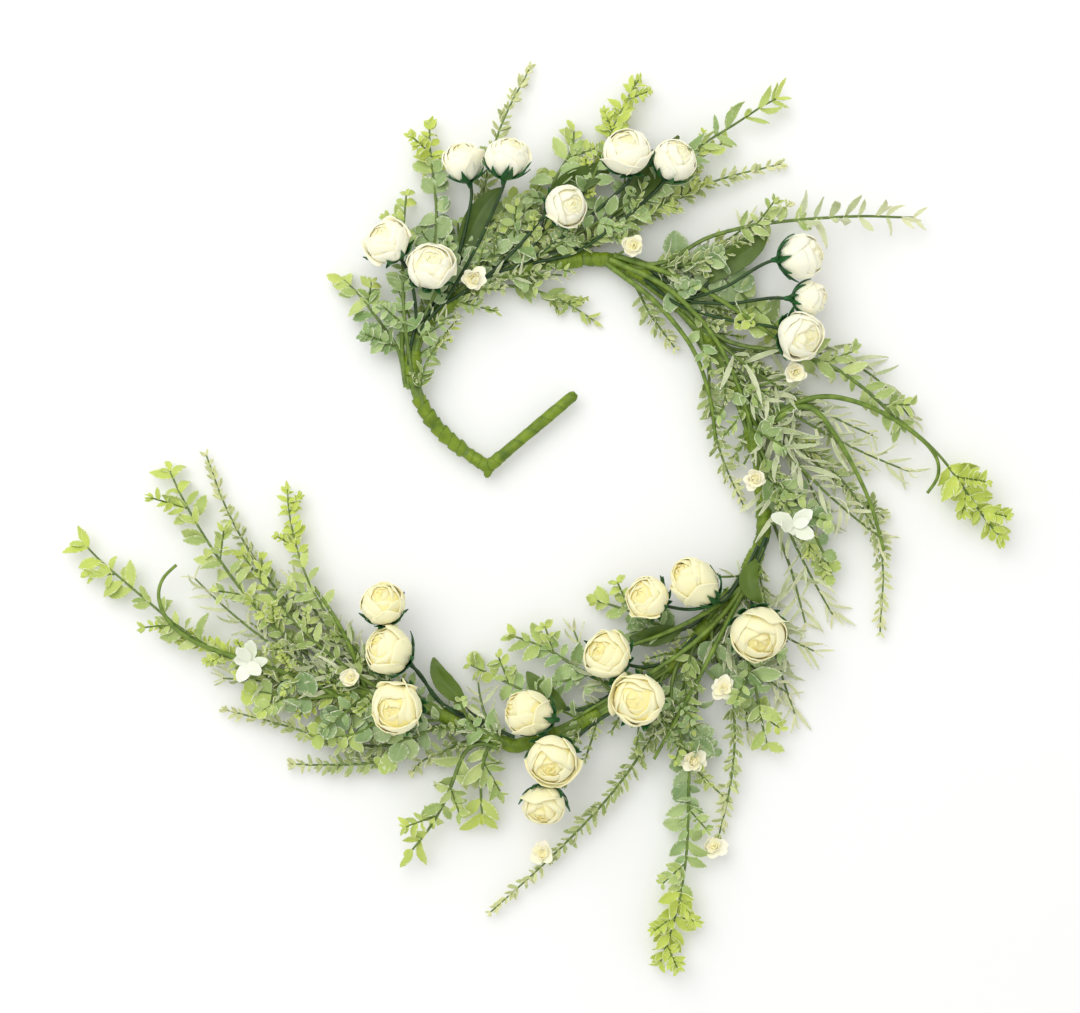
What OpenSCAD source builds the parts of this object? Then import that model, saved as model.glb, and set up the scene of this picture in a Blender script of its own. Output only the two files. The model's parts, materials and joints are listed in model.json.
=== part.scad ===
// A flower crown of faux greenery and cream rosebuds, lying open on a table.
// Four coated wire stems make an open spiral. Sprays, rose picks and small flowers are bound to
// them with bands of stem tape, and a bare folded end makes the hook that closes the crown.
// Origin: middle of the crown's footprint, on the table. +Z is up. Millimetres.

/* [Main stem] */
// Radius of the coated main stem
stem_r = 3.2; // [2.8:0.1:3.4]
// Radius of the steel wire inside it
wire_r = 1.1; // [0.8:0.1:1.4]
// Height of the main stem's middle above the table
stem_z = 8.4; // [8.4:0.1:9]
// Half length of the bare bend between two stretches of stem
bend_half = 5; // [4:0.5:6]

/* [Hook] */
// Length of the hook's leg past its bend
leg_l = 58; // [45:1:60]
// Angle of the hook's leg from +X
leg_angle = 40; // [35:1:45]
// Depth of the bore that holds the leg's wire
leg_bore = 36; // [25:1:40]
// Turns of tape around the stem beside the hook
wrap_turns = 6; // [4:1:8]

/* [Sprays] */
// Radius of a spray's stem
twig_r = 1.1; // [0.9:0.05:1.2]
// Distance from the main stem's middle to a bound twig's middle
slot_r = 5.4; // [5.3:0.1:5.6]
// Thickness of a leaf
leaf_t = 1.2; // [0.8:0.1:1.4]
// Width of a tape band
band_w = 5; // [4:0.5:6]

/* [Roses] */
// Size of the rosebuds, 1 as built
rose_scale = 1; // [0.9:0.01:1]
// Wall of a calyx
calyx_t = 0.9; // [0.7:0.1:1]

/* [Hidden] */

stem_green = "#86a52c";
dark_green = "#2f5d2a";
sage = "#a9c18a";
lime_leaf = "#a9c653";
heather_green = "#93b06a";
cream = "#fdf8e2";
steel = "#9a9ca0";

// Where each stretch of main stem runs, seen from above, in round numbers chosen by hand.
upper_line = [[-25, 22], [-41, 33], [-54, 46], [-62, 63], [-62, 81], [-56, 94], [-46, 103],
    [-33, 111], [-18, 118], [0, 123], [18, 126], [36, 126]];
right_line = [[36, 126], [52, 119], [69, 105], [86, 85], [100, 61], [108, 36], [113, 11], [113, -12]];
lower_line = [[113, -12], [107, -27], [96, -43], [81, -62], [65, -78], [46, -91], [26, -104],
    [7, -113], [-12, -118]];
tail_line = [[-12, -118], [-31, -110], [-49, -101], [-69, -95], [-89, -91], [-104, -88]];

// The tape bands' places, counted in route points from the start of each stretch.
upper_bands = [3.6, 4.8, 6, 7.3, 8.6, 9.9];
right_bands = [0.9, 1.9, 2.9, 3.9, 5, 6];
lower_bands = [0.9, 2.1, 2.9, 3.8, 4.9, 6, 7.1];
tail_bands = [0.8, 1.7, 2.8, 3.9];

// Each garland's stem line with its bands.
upper = [upper_line, upper_bands];
right = [right_line, right_bands];
lower = [lower_line, lower_bands];
tail = [tail_line, tail_bands];

// Four heights at which twigs lie, and the angle round the main stem at which each is bound. The
// fifth lies over the tape bands and is bound at the stem's inner shoulder.
level_z = [1.2, 4.5, 8, 11.6, 18.2];
level_angle = [-90, -45, -4, 36, 140];
OVER = 4;
OUT = 1;
IN = -1;

tube_sides = 8;
twig_sides = 4;
wire_sides = 6;
twig_steps = 1.2;
bore_clearance = 0.15;

// Leaf kinds: length, width, angle from the twig, and how much the last leaf shrinks.
HEATHER = [8, 3.4, 52, 0.55];
EUCALYPTUS = [12, 8.5, 58, 0.6];
ROUND_LEAF = [12, 10.5, 62, 0.75];
WILLOW = [21, 5, 34, 0.6];
LACY = [9, 5.5, 50, 0.7];

function unit(v) = v / norm(v);
function last(p) = len(p) - 1;
function lifted(line, z) = [for (q = line) [q.x, q.y, z]];

// The point at t on a smooth curve through the points p, where t counts points.
function at(p, t) =
    let (i = max(0, min(floor(t), last(p) - 1)), u = t - i,
         b = p[i], c = p[i + 1],
         a = i > 0 ? p[i - 1] : 2 * b - c,
         d = i + 2 <= last(p) ? p[i + 2] : 2 * c - b)
    0.5 * (2 * b + (c - a) * u + (2 * a - 5 * b + 4 * c - d) * u * u
        + (3 * b - a - 3 * c + d) * u * u * u);
function heading_at(p, t) = unit(at(p, t + 0.05) - at(p, t - 0.05));
function stretch(p, from, to, steps) = [for (i = [0 : steps]) at(p, from + (to - from) * i / steps)];

// A ring of points round p[i], square to the curve: its half width across and its half height up.
function heading(p, i) = unit(p[min(i + 1, last(p))] - p[max(i - 1, 0)]);
function ring(p, i, across, up, sides) =
    let (h = heading(p, i), s = unit(cross([0, 0, 1], h)), u = cross(h, s))
    [for (k = [0 : sides - 1]) let (a = 360 * (k + 0.5) / sides)
        p[i] + across * cos(a) * s + up * sin(a) * u];

// Where a twig is bound: beside the main stem at t, at an angle round it, 0 being outward.
function slot(line, t, angle) =
    let (p = lifted(line, stem_z), h = heading_at(p, t))
    at(p, t) + slot_r * (cos(angle) * [-h.y, h.x, 0] + sin(angle) * [0, 0, 1]);
function bound(garland, band, angle) =
    [for (step = [-0.4, 0.1, 0.4]) slot(garland[0], garland[1][band] + step, angle)];

// A twig's route: bound at a band, then out over the table at its level's height.
function route(garland, band, side, level, xy) =
    let (angle = side == OUT ? level_angle[level] : 180 - level_angle[level])
    concat(bound(garland, band, angle), [for (q = xy) [q.x, q.y, level_z[level]]]);

// The two triangles between neighbouring points k and j of rings i and i + 1, counting from base.
function wall_faces(base, i, k, m) = let (j = (k + 1) % m, a = base + i * m, b = a + m)
    [[a + k, b + k, b + j], [a + k, b + j, a + j]];

// One closed shell through a row of rings.
module loft(rings) {
    n = len(rings);
    m = len(rings[0]);
    polyhedron([for (r = rings) each r], concat(
        [[for (k = [0 : m - 1]) k], [for (k = [m - 1 : -1 : 0]) (n - 1) * m + k]],
        [for (i = [0 : n - 2], k = [0 : m - 1]) each wall_faces(0, i, k, m)]));
}

// A solid tube that may taper.
module solid_tube(p, r_start, r_end, sides) {
    loft([for (i = [0 : last(p)]) let (r = r_start + (r_end - r_start) * i / last(p))
        ring(p, i, r, r, sides)]);
}

// A tube with a bore right through it, as one closed shell.
module hollow_tube(p, r, bore) {
    n = len(p);
    m = tube_sides;
    inner = n * m;
    end = (n - 1) * m;
    function mouth(k, e) = let (a = e + k, b = e + (k + 1) % m)
        [[a, b, inner + b], [a, inner + b, inner + a]];
    function turned(faces) = [for (f = faces) [f[2], f[1], f[0]]];
    polyhedron([for (size = [r, bore], i = [0 : n - 1]) each ring(p, i, size, size, m)], concat(
        [for (i = [0 : n - 2], k = [0 : m - 1]) each wall_faces(0, i, k, m)],
        [for (i = [0 : n - 2], k = [0 : m - 1]) each turned(wall_faces(inner, i, k, m))],
        [for (k = [0 : m - 1]) each mouth(k, 0)],
        [for (k = [0 : m - 1]) each turned(mouth(k, end))]));
}

// A flat leaf from a point on its twig, pointing along an angle seen from above. A narrow leaf is
// a long diamond, and a broad one has a blunt tip.
module leaf(p, angle, l, w) {
    narrow = w < 0.65 * l;
    edge = narrow ? [[0, 0], [0.4 * l, w / 2], [l, 0], [0.4 * l, -w / 2]]
        : [[0, 0], [0.45 * l, w / 2], [l, 0.22 * w], [l, -0.22 * w], [0.45 * l, -w / 2]];
    m = len(edge);
    translate(p) rotate([0, 0, angle]) hull() polyhedron(
        concat([for (q = edge) [q.x, q.y, 0]], [[0.45 * l, 0, leaf_t / 2], [0.45 * l, 0, -leaf_t / 2]]),
        [for (k = [0 : m - 1]) each [[(k + 1) % m, k, m], [k, (k + 1) % m, m + 1]]]);
}

// A twig's solid stem.
function twig_path(p) = stretch(p, 0, last(p), ceil(twig_steps * last(p)));
module twig(p, r_start, r_end) {
    solid_tube(twig_path(p), r_start, r_end, twig_sides);
}

// A spray: a twig with pairs of leaves from point number bare on, and one leaf at its tip.
module spray(p, kind, pairs, bare = 3) {
    q = twig_path(p);
    twig(p, twig_r, 0.6 * twig_r);
    for (i = [0 : pairs], side = i < pairs ? [-1, 1] : [0]) {
        t = min(last(q) - 0.15, last(q) / last(p) * (bare + (last(p) - bare) * i / pairs));
        k = floor(t);
        way = q[k + 1] - q[k];
        size = 1 - (1 - kind[3]) * i / pairs;
        leaf(q[k] + (t - k) * way, atan2(way.y, way.x) + side * kind[2], kind[0] * size, kind[1] * size);
    }
}

// A broad dark leaf on its own stalk: bound at a band, then over points whose heights count from
// the main stem's middle.
module blade(garland, band, angle, points, w, bare) {
    steps = 10;
    p = concat(bound(garland, band, angle), [for (q = points) q + [0, 0, stem_z]]);
    q = stretch(p, 0, last(p), steps);
    function swell(i) = sin(180 * (i / steps - bare) / (1.03 - bare));
    function half_w(i) = i / steps <= bare ? twig_r : max(twig_r / 2, w / 2 * pow(swell(i), 0.7));
    function half_t(i) = i / steps <= bare ? twig_r : leaf_t / 2;
    loft([for (i = [0 : steps]) ring(q, i, half_w(i), half_t(i), 4)]);
}

// A small filler flower on its stalk: five petals in a ring.
module floret(p, petal_l, petal_w) {
    twig(p, 0.7 * twig_r, 0.5 * twig_r);
    for (a = [0 : 72 : 288]) leaf(p[last(p)] - [0, 0, 0.2], a, petal_l, petal_w);
}

// Roses: middle, whose height counts from the main stem's middle, then radius, half height over
// radius, direction and rise of the axis, band and angle round the main stem.
function rose_axis(rose) = [cos(rose[3]) * cos(rose[4]), sin(rose[3]) * cos(rose[4]), sin(rose[4])];
function rose_half(rose) = rose[1] * rose[2] * rose_scale;
neck_l = 3;
function rose_middle(rose) = rose[0] + [0, 0, stem_z];
function rose_foot(rose) = rose_middle(rose) - rose_axis(rose) * (rose_half(rose) + neck_l);

module along_rose(rose) {
    translate(rose_middle(rose)) rotate([0, 90 - rose[4], rose[3]]) children();
}

// The bud's outline: an oval with a small hollow in its heart.
function bud_outline(r, half) = concat([for (a = [-90 : 22.5 : 45]) [r * cos(a), half * sin(a)]],
    [[0.38 * r, 0.93 * half], [0.2 * r, 0.86 * half], [0, 0.84 * half]]);

module rose_head(rose) {
    color(cream) along_rose(rose) rotate_extrude($fn = 48)
        polygon(bud_outline(rose[1] * rose_scale, rose_half(rose)));
}

// A cup under the bud, cut to a star so that pointed sepals lie up its sides.
module rose_calyx(rose) {
    r = rose[1] * rose_scale;
    half = rose_half(rose);
    gap = 0.25;
    wall = gap + calyx_t;
    neck_r = 1.9;
    function oval(grow) = concat([for (a = [-90 : 22.5 : 0]) [(r + grow) * cos(a), (half + grow) * sin(a)]],
        [[0, 0]]);
    color(dark_green) along_rose(rose) union() {
        intersection() {
            rotate_extrude($fn = 48) difference() {
                polygon(oval(wall));
                polygon(oval(gap));
            }
            translate([0, 0, -2 * half]) linear_extrude(2 * half - 0.12 * half) polygon(
                [for (k = [0 : 9]) (k % 2 == 0 ? r + 3 : 0.45 * r) * [cos(36 * k), sin(36 * k)]]);
        }
        translate([0, 0, -half - neck_l]) cylinder(h = neck_l - gap - 0.3 * calyx_t, r = neck_r, $fn = 32);
    }
}

// A rose's stem: bound at its band, then up to the calyx.
module rose_stem(garland, rose) {
    foot = rose_foot(rose);
    before_foot = 6;
    stop_short = 1.4;
    rise = 0.3;
    lead = unit([cos(rose[3]), sin(rose[3]), rise]);
    p = concat(bound(garland, rose[5], rose[6]), [foot - before_foot * lead, foot - stop_short * lead]);
    solid_tube(stretch(p, 0, last(p), 2 * last(p)), twig_r, twig_r, twig_sides);
}

// The roses of each pick.
pick_1 = [[[-75, 134, 18], 11.5, 0.85, 130, 50, 1, 55], [[-53, 121, 20], 12, 0.85, 82, 60, 1, 95]];
pick_2 = [[[-37, 174, 13], 10.2, 0.95, 105, 25, 2, 60], [[-15, 175, 24], 10.6, 0.95, 80, 25, 2, 90],
    [[14, 151, 20], 10.5, 0.85, 10, 60, 3, 90]];
pick_3 = [[[44, 178, 19], 12.3, 0.85, 100, 50, 4, 75], [[68, 174, 17], 10.8, 0.9, 60, 45, 5, 80]];
pick_4 = [[[131, 126, 18], 11.2, 1, 5, 20, 1, 65], [[136, 106, 11], 8.6, 1, 0, 12, 1, 92],
    [[130, 87, 20], 11.8, 0.85, -20, 60, 1, 120]];
pick_5 = [[[54, -43, 18], 10.8, 0.85, 150, 50, 1, 108], [[77, -35, 22], 11.3, 1.25, 140, 30, 0, 122],
    [[109, -61, 21], 14, 0.85, -80, 60, 0, 55]];
pick_6 = [[[34, -71, 20], 12.2, 0.85, 150, 55, 3, 120], [[49, -93, 25], 13, 0.8, 200, 72, 3, 80]];
pick_7 = [[[-5, -100, 18], 11.2, 1.15, 165, 25, 5, 115], [[7, -123, 25], 12.6, 0.85, 250, 62, 5, 82],
    [[3, -146, 16], 10.8, 0.85, 255, 40, 5, 50]];
pick_8 = [[[-77, -46, 18], 10.8, 0.9, 100, 45, 1, 125], [[-74, -69, 20], 12, 0.95, 145, 35, 1, 95],
    [[-70, -97, 25], 13, 0.8, 190, 70, 1, 65]];

module heads(pick) {
    for (rose = pick) rose_head(rose);
}
module calyxes(pick) {
    for (rose = pick) rose_calyx(rose);
}
module stems(garland, pick) {
    for (rose = pick) rose_stem(garland, rose);
}

module rose_pick_1_stems() color(dark_green) stems(upper, pick_1);
module rose_pick_2_stems() color(dark_green) {
    stems(upper, pick_2);
    blade(upper, 2, 30, [[-36, 124, 3], [-29, 140, 3], [-22, 152, 3], [-17, 161, 3]], 12, 0.45);
}
module rose_pick_3_stems() color(dark_green) {
    stems(upper, pick_3);
    blade(upper, 4, 34, [[2, 142, 3], [5, 154, 3], [14, 166, 3], [27, 171, 3], [39, 174, 3]], 9, 0.5);
    blade(upper, 5, 34, [[38, 146, 3], [52, 166, 3], [61, 178, 3], [71, 187, 3]], 8, 0.6);
}
module rose_pick_4_stems() color(dark_green) {
    stems(right, pick_4);
    blade(right, 1, 30, [[88, 119, 3], [97, 129, 3], [106, 135, 3], [115, 139, 3]], 11, 0.5);
}
module rose_pick_5_stems() color(dark_green) {
    stems(lower, pick_5);
    blade(lower, 0, 88, [[106, -31, 12], [109, -37, 12.5], [109, -42, 12], [107, -47, 11]], 13, 0.42);
}
module rose_pick_6_stems() color(dark_green) {
    stems(lower, pick_6);
    blade(lower, 2, 148, [[72, -58, 3], [62, -58, 3], [53, -61, 3], [46, -64, 3]], 10, 0.45);
}
module rose_pick_7_stems() color(dark_green) {
    stems(lower, pick_7);
    blade(lower, 5, 148, [[14, -98, 3], [8, -92, 3], [2, -86, 3], [-6, -81, 3]], 8, 0.5);
}
module rose_pick_8_stems() color(dark_green) {
    stems(tail, pick_8);
    blade(tail, 0, 148, [[-36, -94, 3], [-41, -87, 3], [-47, -80, 3], [-53, -74, 3]], 11, 0.45);
}

// Stretches of main stem, their wires and the bare bends between them.
function share(line, i) = bend_half / norm(line[i + 1] - line[i]);
function stem_route(line, start_bare, end_bare, steps) = stretch(lifted(line, stem_z),
    start_bare ? share(line, 0) : 0, last(line) - (end_bare ? share(line, last(line) - 1) : 0), steps);

module main_stem(p) {
    color(stem_green) hollow_tube(p, stem_r, wire_r + bore_clearance);
}
module core_wire(p) {
    color(steel) solid_tube(p, wire_r, wire_r, wire_sides);
}
upper_route = stem_route(upper_line, true, true, 20);
right_route = stem_route(right_line, true, true, 17);
lower_route = stem_route(lower_line, true, true, 18);
tail_route = stem_route(tail_line, true, false, 9);
end_gap = 0.8;

module upper_main_stem() main_stem(upper_route);
module upper_core_wire() core_wire(upper_route);
module right_main_stem() main_stem(right_route);
module right_core_wire() core_wire(right_route);
module lower_main_stem() main_stem(lower_route);
module lower_core_wire() core_wire(lower_route);
module tail_main_stem() main_stem(tail_route);
module tail_core_wire() core_wire(tail_route);

// A bend is the short bare stretch of wire between the ends of two coated stems.
module bend(from, knee, to) {
    a = from + end_gap * unit(knee - from);
    b = to + end_gap * unit(knee - to);
    color(stem_green) solid_tube(stretch([a, knee, b], 0, 2, 4), 0.8 * stem_r, 0.8 * stem_r, tube_sides);
}
leg_way = [cos(leg_angle), sin(leg_angle), 0];
hook_knee = lifted(upper_line, stem_z)[0];
leg_start = hook_knee + bend_half * leg_way;
module hook_bend() bend(upper_route[0], hook_knee, leg_start);
module right_bend() bend(upper_route[last(upper_route)], lifted(right_line, stem_z)[0], right_route[0]);
module lower_bend() bend(right_route[last(right_route)], lifted(lower_line, stem_z)[0], lower_route[0]);
module tail_bend() bend(lower_route[last(lower_route)], lifted(tail_line, stem_z)[0], tail_route[0]);

// The hook's leg: a straight coated end with a round tip and a blind bore for its wire.
module hook_leg() {
    color(stem_green) translate(leg_start) rotate([0, 90, leg_angle]) difference() {
        union() {
            cylinder(h = leg_l - bend_half - stem_r, r = stem_r, $fn = 48);
            translate([0, 0, leg_l - bend_half - stem_r]) sphere(r = stem_r, $fn = 48);
        }
        translate([0, 0, -1]) cylinder(h = leg_bore + 1, r = wire_r + bore_clearance, $fn = 48);
    }
}
module hook_core_wire() {
    color(steel) translate(leg_start) rotate([0, 90, leg_angle])
        cylinder(h = leg_bore - bore_clearance, r = wire_r, $fn = 48);
}

// Tape wound round the bare stretch of stem beside the hook.
module hook_wrap() {
    tape_r = 0.8;
    line = lifted(upper_line, stem_z);
    from = 0.55;
    to = 2.9;
    steps = 9 * wrap_turns;
    lift = stem_r + tape_r + 0.3;
    function wound(i) = let (t = from + (to - from) * i / steps, h = heading_at(line, t), a = 40 * i)
        at(line, t) + lift * (cos(a) * [-h.y, h.x, 0] + sin(a) * [0, 0, 1]);
    p = [for (i = [0 : steps]) wound(i)];
    color(stem_green) solid_tube(p, tape_r, tape_r, 5);
}

module tape_bands(garland) {
    inner = slot_r + twig_r + 0.7;
    outer = inner + 0.8;
    color(stem_green) for (t = garland[1]) {
        h = heading_at(garland[0], t);
        q = at(garland[0], t);
        translate([q.x, q.y, stem_z]) rotate([0, 90, atan2(h.y, h.x)]) difference() {
            cylinder(h = band_w, r = outer, center = true, $fn = 48);
            cylinder(h = band_w + 2, r = inner, center = true, $fn = 48);
        }
    }
}
module upper_tape_bands() tape_bands(upper);
module right_tape_bands() tape_bands(right);
module lower_tape_bands() tape_bands(lower);
module tail_tape_bands() tape_bands(tail);

// Sprays of the upper stretch.
module upper_heather() color(heather_green) {
    spray(route(upper, 2, OUT, 1, [[-36, 128], [-29, 152], [-24, 180], [-15, 203], [-5, 221]]), HEATHER, 9);
    spray(route(upper, 5, OUT, 1, [[48, 146], [72, 160], [98, 169], [120, 174]]), HEATHER, 6);
}
module upper_eucalyptus() color(sage) {
    spray(route(upper, 0, OUT, 2, [[-75, 88], [-85, 102], [-93, 112]]), EUCALYPTUS, 5);
    spray(route(upper, 1, OUT, 2, [[-57, 114], [-50, 136], [-51, 160], [-55, 188]]), ROUND_LEAF, 7);
    spray(route(upper, 3, OUT, 2, [[-6, 140], [2, 157], [14, 175], [25, 189]]), EUCALYPTUS, 6);
    spray(route(upper, 4, OUT, 2, [[18, 148], [30, 174], [39, 196], [47, 212]]), EUCALYPTUS, 6);
    spray(route(upper, 5, OUT, 2, [[46, 152], [70, 176], [94, 191], [115, 205]]), EUCALYPTUS, 7);
}
module upper_lacy_fern() color(sage) {
    spray(route(upper, 1, OUT, 0, [[-52, 112], [-38, 124], [-18, 133]]), LACY, 5);
    spray(route(upper, 3, OUT, 0, [[-4, 137], [16, 141], [36, 141]]), LACY, 5);
    spray(route(upper, 3, IN, 0, [[-4, 112], [10, 108], [25, 98]]), LACY, 5);
}
module upper_filler_flowers() color(cream) {
    floret(route(upper, 2, OUT, OVER, [[-38, 109], [-31, 116]]), 6, 4);
    floret(route(upper, 5, OUT, OVER, [[38, 130], [48, 132]]), 6, 4);
}

// Sprays of the right stretch.
module right_heather() color(heather_green) {
    spray(route(right, 2, IN, 1, [[85, 60], [88, 40], [93, 22], [102, 5]]), HEATHER, 6);
    spray(route(right, 0, IN, 1, [[50, 108], [57, 96], [67, 84]]), HEATHER, 4);
    spray(route(right, 2, OUT, 1, [[114, 70], [140, 48], [157, 24], [170, -4], [174, -30], [172, -60]]),
        HEATHER, 12);
    spray(route(right, 3, OUT, 1, [[126, 40], [148, 22], [164, 0], [168, -16]]), HEATHER, 6);
}
module right_eucalyptus() color(sage) {
    spray(route(right, 0, OUT, 2, [[70, 126], [88, 120], [104, 108], [116, 95]]), ROUND_LEAF, 5);
    spray(route(right, 4, OUT, 2, [[126, 12], [137, -8], [146, -27]]), EUCALYPTUS, 4);
}
module right_long_branches() color(lime_leaf) {
    spray(route(right, 0, OUT, 3, [[80, 136], [110, 144], [134, 146], [160, 148], [184, 147]]), LACY, 7, 5);
    spray(route(right, 2, OUT, 3, [[118, 82], [146, 74], [168, 58], [182, 42], [198, 32], [213, 12],
        [227, -9]]), EUCALYPTUS, 10, 4);
}
module right_willow() color(sage) {
    spray(route(right, 2, OUT, 0, [[118, 80], [146, 80], [170, 68], [182, 54]]), WILLOW, 5);
    spray(route(right, 3, OUT, 0, [[122, 38], [134, 20], [142, 2]]), WILLOW, 5);
    spray(route(right, 5, OUT, 0, [[122, -14], [128, -30], [132, -46]]), WILLOW, 4);
}
module right_filler_flowers() color(cream) {
    floret(route(right, 5, OUT, OVER, [[120, -2], [127, -8]]), 11, 8);
    floret(route(right, 4, OUT, OVER, [[109, 22], [108, 15]]), 5.5, 4);
}

// Sprays of the lower stretch.
module lower_heather() color(heather_green) {
    spray(route(lower, 2, OUT, 1, [[76, -86], [60, -110], [46, -131], [30, -151], [8, -172], [-24, -201]]),
        HEATHER, 10);
    spray(route(lower, 1, OUT, 1, [[96, -74], [99, -98], [99, -124], [95, -148], [90, -167]]), HEATHER, 8);
}
module lower_eucalyptus() color(sage) {
    spray(route(lower, 2, OUT, 2, [[79, -92], [75, -122], [76, -152], [74, -182], [69, -204], [64, -221]]),
        EUCALYPTUS, 10);
    spray(route(lower, 1, OUT, 2, [[103, -68], [110, -90], [113, -112]]), EUCALYPTUS, 5);
    spray(route(lower, 4, IN, 2, [[26, -82], [8, -70], [-6, -64]]), EUCALYPTUS, 4);
    spray(route(lower, 5, IN, 2, [[4, -96], [-14, -87], [-30, -79]]), LACY, 4);
    spray(route(lower, 2, IN, 2, [[64, -60], [48, -50], [34, -46]]), LACY, 4);
}
module lower_willow() color(sage) {
    spray(route(lower, 0, OUT, 0, [[114, -54], [121, -76], [126, -92]]), WILLOW, 5);
    spray(route(lower, 1, OUT, 0, [[100, -64], [104, -82], [105, -100]]), WILLOW, 3);
}
module lower_filler_flowers() color(cream) {
    floret(route(lower, 1, OUT, 3, [[92, -68], [93, -87]]), 6.5, 5);
    floret(route(lower, 2, OUT, 3, [[80, -86], [78, -106], [77, -125]]), 6.5, 5);
}

// Sprays of the tail.
module tail_heather() color(heather_green) {
    spray(route(tail, 2, IN, 1, [[-86, -78], [-102, -70], [-120, -54], [-136, -34], [-150, -13],
        [-160, 8], [-166, 26]]), HEATHER, 10);
    spray(route(tail, 1, OUT, 1, [[-62, -116], [-84, -119], [-106, -115], [-130, -106], [-156, -100]]),
        HEATHER, 7);
    spray(route(tail, 0, OUT, 1, [[-46, -120], [-74, -127], [-98, -127], [-122, -127]]), HEATHER, 6);
}
module tail_long_branches() color(lime_leaf) {
    spray(route(tail, 3, OUT, 2, [[-112, -95], [-132, -85], [-150, -76], [-170, -66], [-190, -50],
        [-207, -36], [-224, -21]]), EUCALYPTUS, 9, 4);
    spray(route(tail, 3, IN, 2, [[-122, -68], [-144, -46], [-160, -24], [-174, -2], [-183, 15]]),
        EUCALYPTUS, 8);
    spray(route(tail, 2, IN, 2, [[-88, -74], [-108, -50], [-120, -24], [-126, 5]]), ROUND_LEAF, 6);
}
module tail_low_sprays() color(sage) {
    spray(route(tail, 0, OUT, 3, [[-40, -130], [-48, -150], [-59, -166]]), EUCALYPTUS, 5);
    spray(route(tail, 2, OUT, 3, [[-84, -106], [-104, -102], [-120, -96], [-134, -91]]), ROUND_LEAF, 4, 4);
    spray(route(tail, 1, OUT, 3, [[-60, -114], [-80, -113], [-94, -112]]), ROUND_LEAF, 3);
}
module tail_filler_flowers() color(cream) {
    floret(route(tail, 3, OUT, OVER, [[-120, -84], [-134, -78], [-144, -75]]), 10, 8);
    floret(route(tail, 2, OUT, OVER, [[-86, -86], [-94, -83]]), 5.5, 4);
}

hook_leg();
hook_core_wire();
hook_wrap();
upper_main_stem();
upper_core_wire();
right_main_stem();
right_core_wire();
lower_main_stem();
lower_core_wire();
tail_main_stem();
tail_core_wire();
hook_bend();
right_bend();
lower_bend();
tail_bend();
upper_tape_bands();
right_tape_bands();
lower_tape_bands();
tail_tape_bands();
rose_pick_1_stems();
rose_pick_2_stems();
rose_pick_3_stems();
rose_pick_4_stems();
rose_pick_5_stems();
rose_pick_6_stems();
rose_pick_7_stems();
rose_pick_8_stems();
calyxes(pick_1);  // rose_pick_1_calyxes
calyxes(pick_2);  // rose_pick_2_calyxes
calyxes(pick_3);  // rose_pick_3_calyxes
calyxes(pick_4);  // rose_pick_4_calyxes
calyxes(pick_5);  // rose_pick_5_calyxes
calyxes(pick_6);  // rose_pick_6_calyxes
calyxes(pick_7);  // rose_pick_7_calyxes
calyxes(pick_8);  // rose_pick_8_calyxes
heads(pick_1);  // rose_pick_1_heads
heads(pick_2);  // rose_pick_2_heads
heads(pick_3);  // rose_pick_3_heads
heads(pick_4);  // rose_pick_4_heads
heads(pick_5);  // rose_pick_5_heads
heads(pick_6);  // rose_pick_6_heads
heads(pick_7);  // rose_pick_7_heads
heads(pick_8);  // rose_pick_8_heads
upper_heather();
upper_eucalyptus();
upper_lacy_fern();
upper_filler_flowers();
right_heather();
right_eucalyptus();
right_long_branches();
right_willow();
right_filler_flowers();
lower_heather();
lower_eucalyptus();
lower_willow();
lower_filler_flowers();
tail_heather();
tail_long_branches();
tail_low_sprays();
tail_filler_flowers();
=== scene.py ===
# Flower crown of faux greenery and cream rosebuds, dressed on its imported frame. Metres, +Z up.
import heapq
import json
import math
import bpy
import numpy as np
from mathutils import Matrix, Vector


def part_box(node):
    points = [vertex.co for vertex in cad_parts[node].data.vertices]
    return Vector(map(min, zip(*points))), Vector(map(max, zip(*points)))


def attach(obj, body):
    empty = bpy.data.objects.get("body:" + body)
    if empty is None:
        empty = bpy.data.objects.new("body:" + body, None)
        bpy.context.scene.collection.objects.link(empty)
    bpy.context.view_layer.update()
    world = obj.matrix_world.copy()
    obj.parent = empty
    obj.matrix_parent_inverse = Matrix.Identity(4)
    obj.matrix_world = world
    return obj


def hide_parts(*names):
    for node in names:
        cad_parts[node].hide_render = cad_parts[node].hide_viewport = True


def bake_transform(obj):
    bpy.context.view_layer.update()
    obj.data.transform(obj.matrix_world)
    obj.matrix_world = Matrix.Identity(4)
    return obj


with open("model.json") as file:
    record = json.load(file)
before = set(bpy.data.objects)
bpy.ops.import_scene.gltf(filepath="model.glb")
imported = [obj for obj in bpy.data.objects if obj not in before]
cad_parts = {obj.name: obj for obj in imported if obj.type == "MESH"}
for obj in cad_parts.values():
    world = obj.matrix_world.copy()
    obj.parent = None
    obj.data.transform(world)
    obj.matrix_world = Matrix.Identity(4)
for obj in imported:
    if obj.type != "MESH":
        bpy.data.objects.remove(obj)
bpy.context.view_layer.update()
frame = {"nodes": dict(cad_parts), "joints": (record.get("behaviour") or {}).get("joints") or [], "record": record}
mm = 0.001
upWay = np.array([0.0, 0.0, 1.0])
print("stage: frame loaded")


anyPhase = 6.3  # radians, for random phases


# small vector helpers
def unit(v):
    return v / (np.linalg.norm(v, axis=-1, keepdims=True) + 1e-12)


def seeded(word):
    return np.random.default_rng(sum((i + 7) * ord(c) for i, c in enumerate(word)))


def settle(z, table=0.5 * mm, soft=0.9 * mm):  # leaves that would dip under the table lie on it
    return table + soft * np.logaddexp(0, (z - table) / soft)


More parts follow.
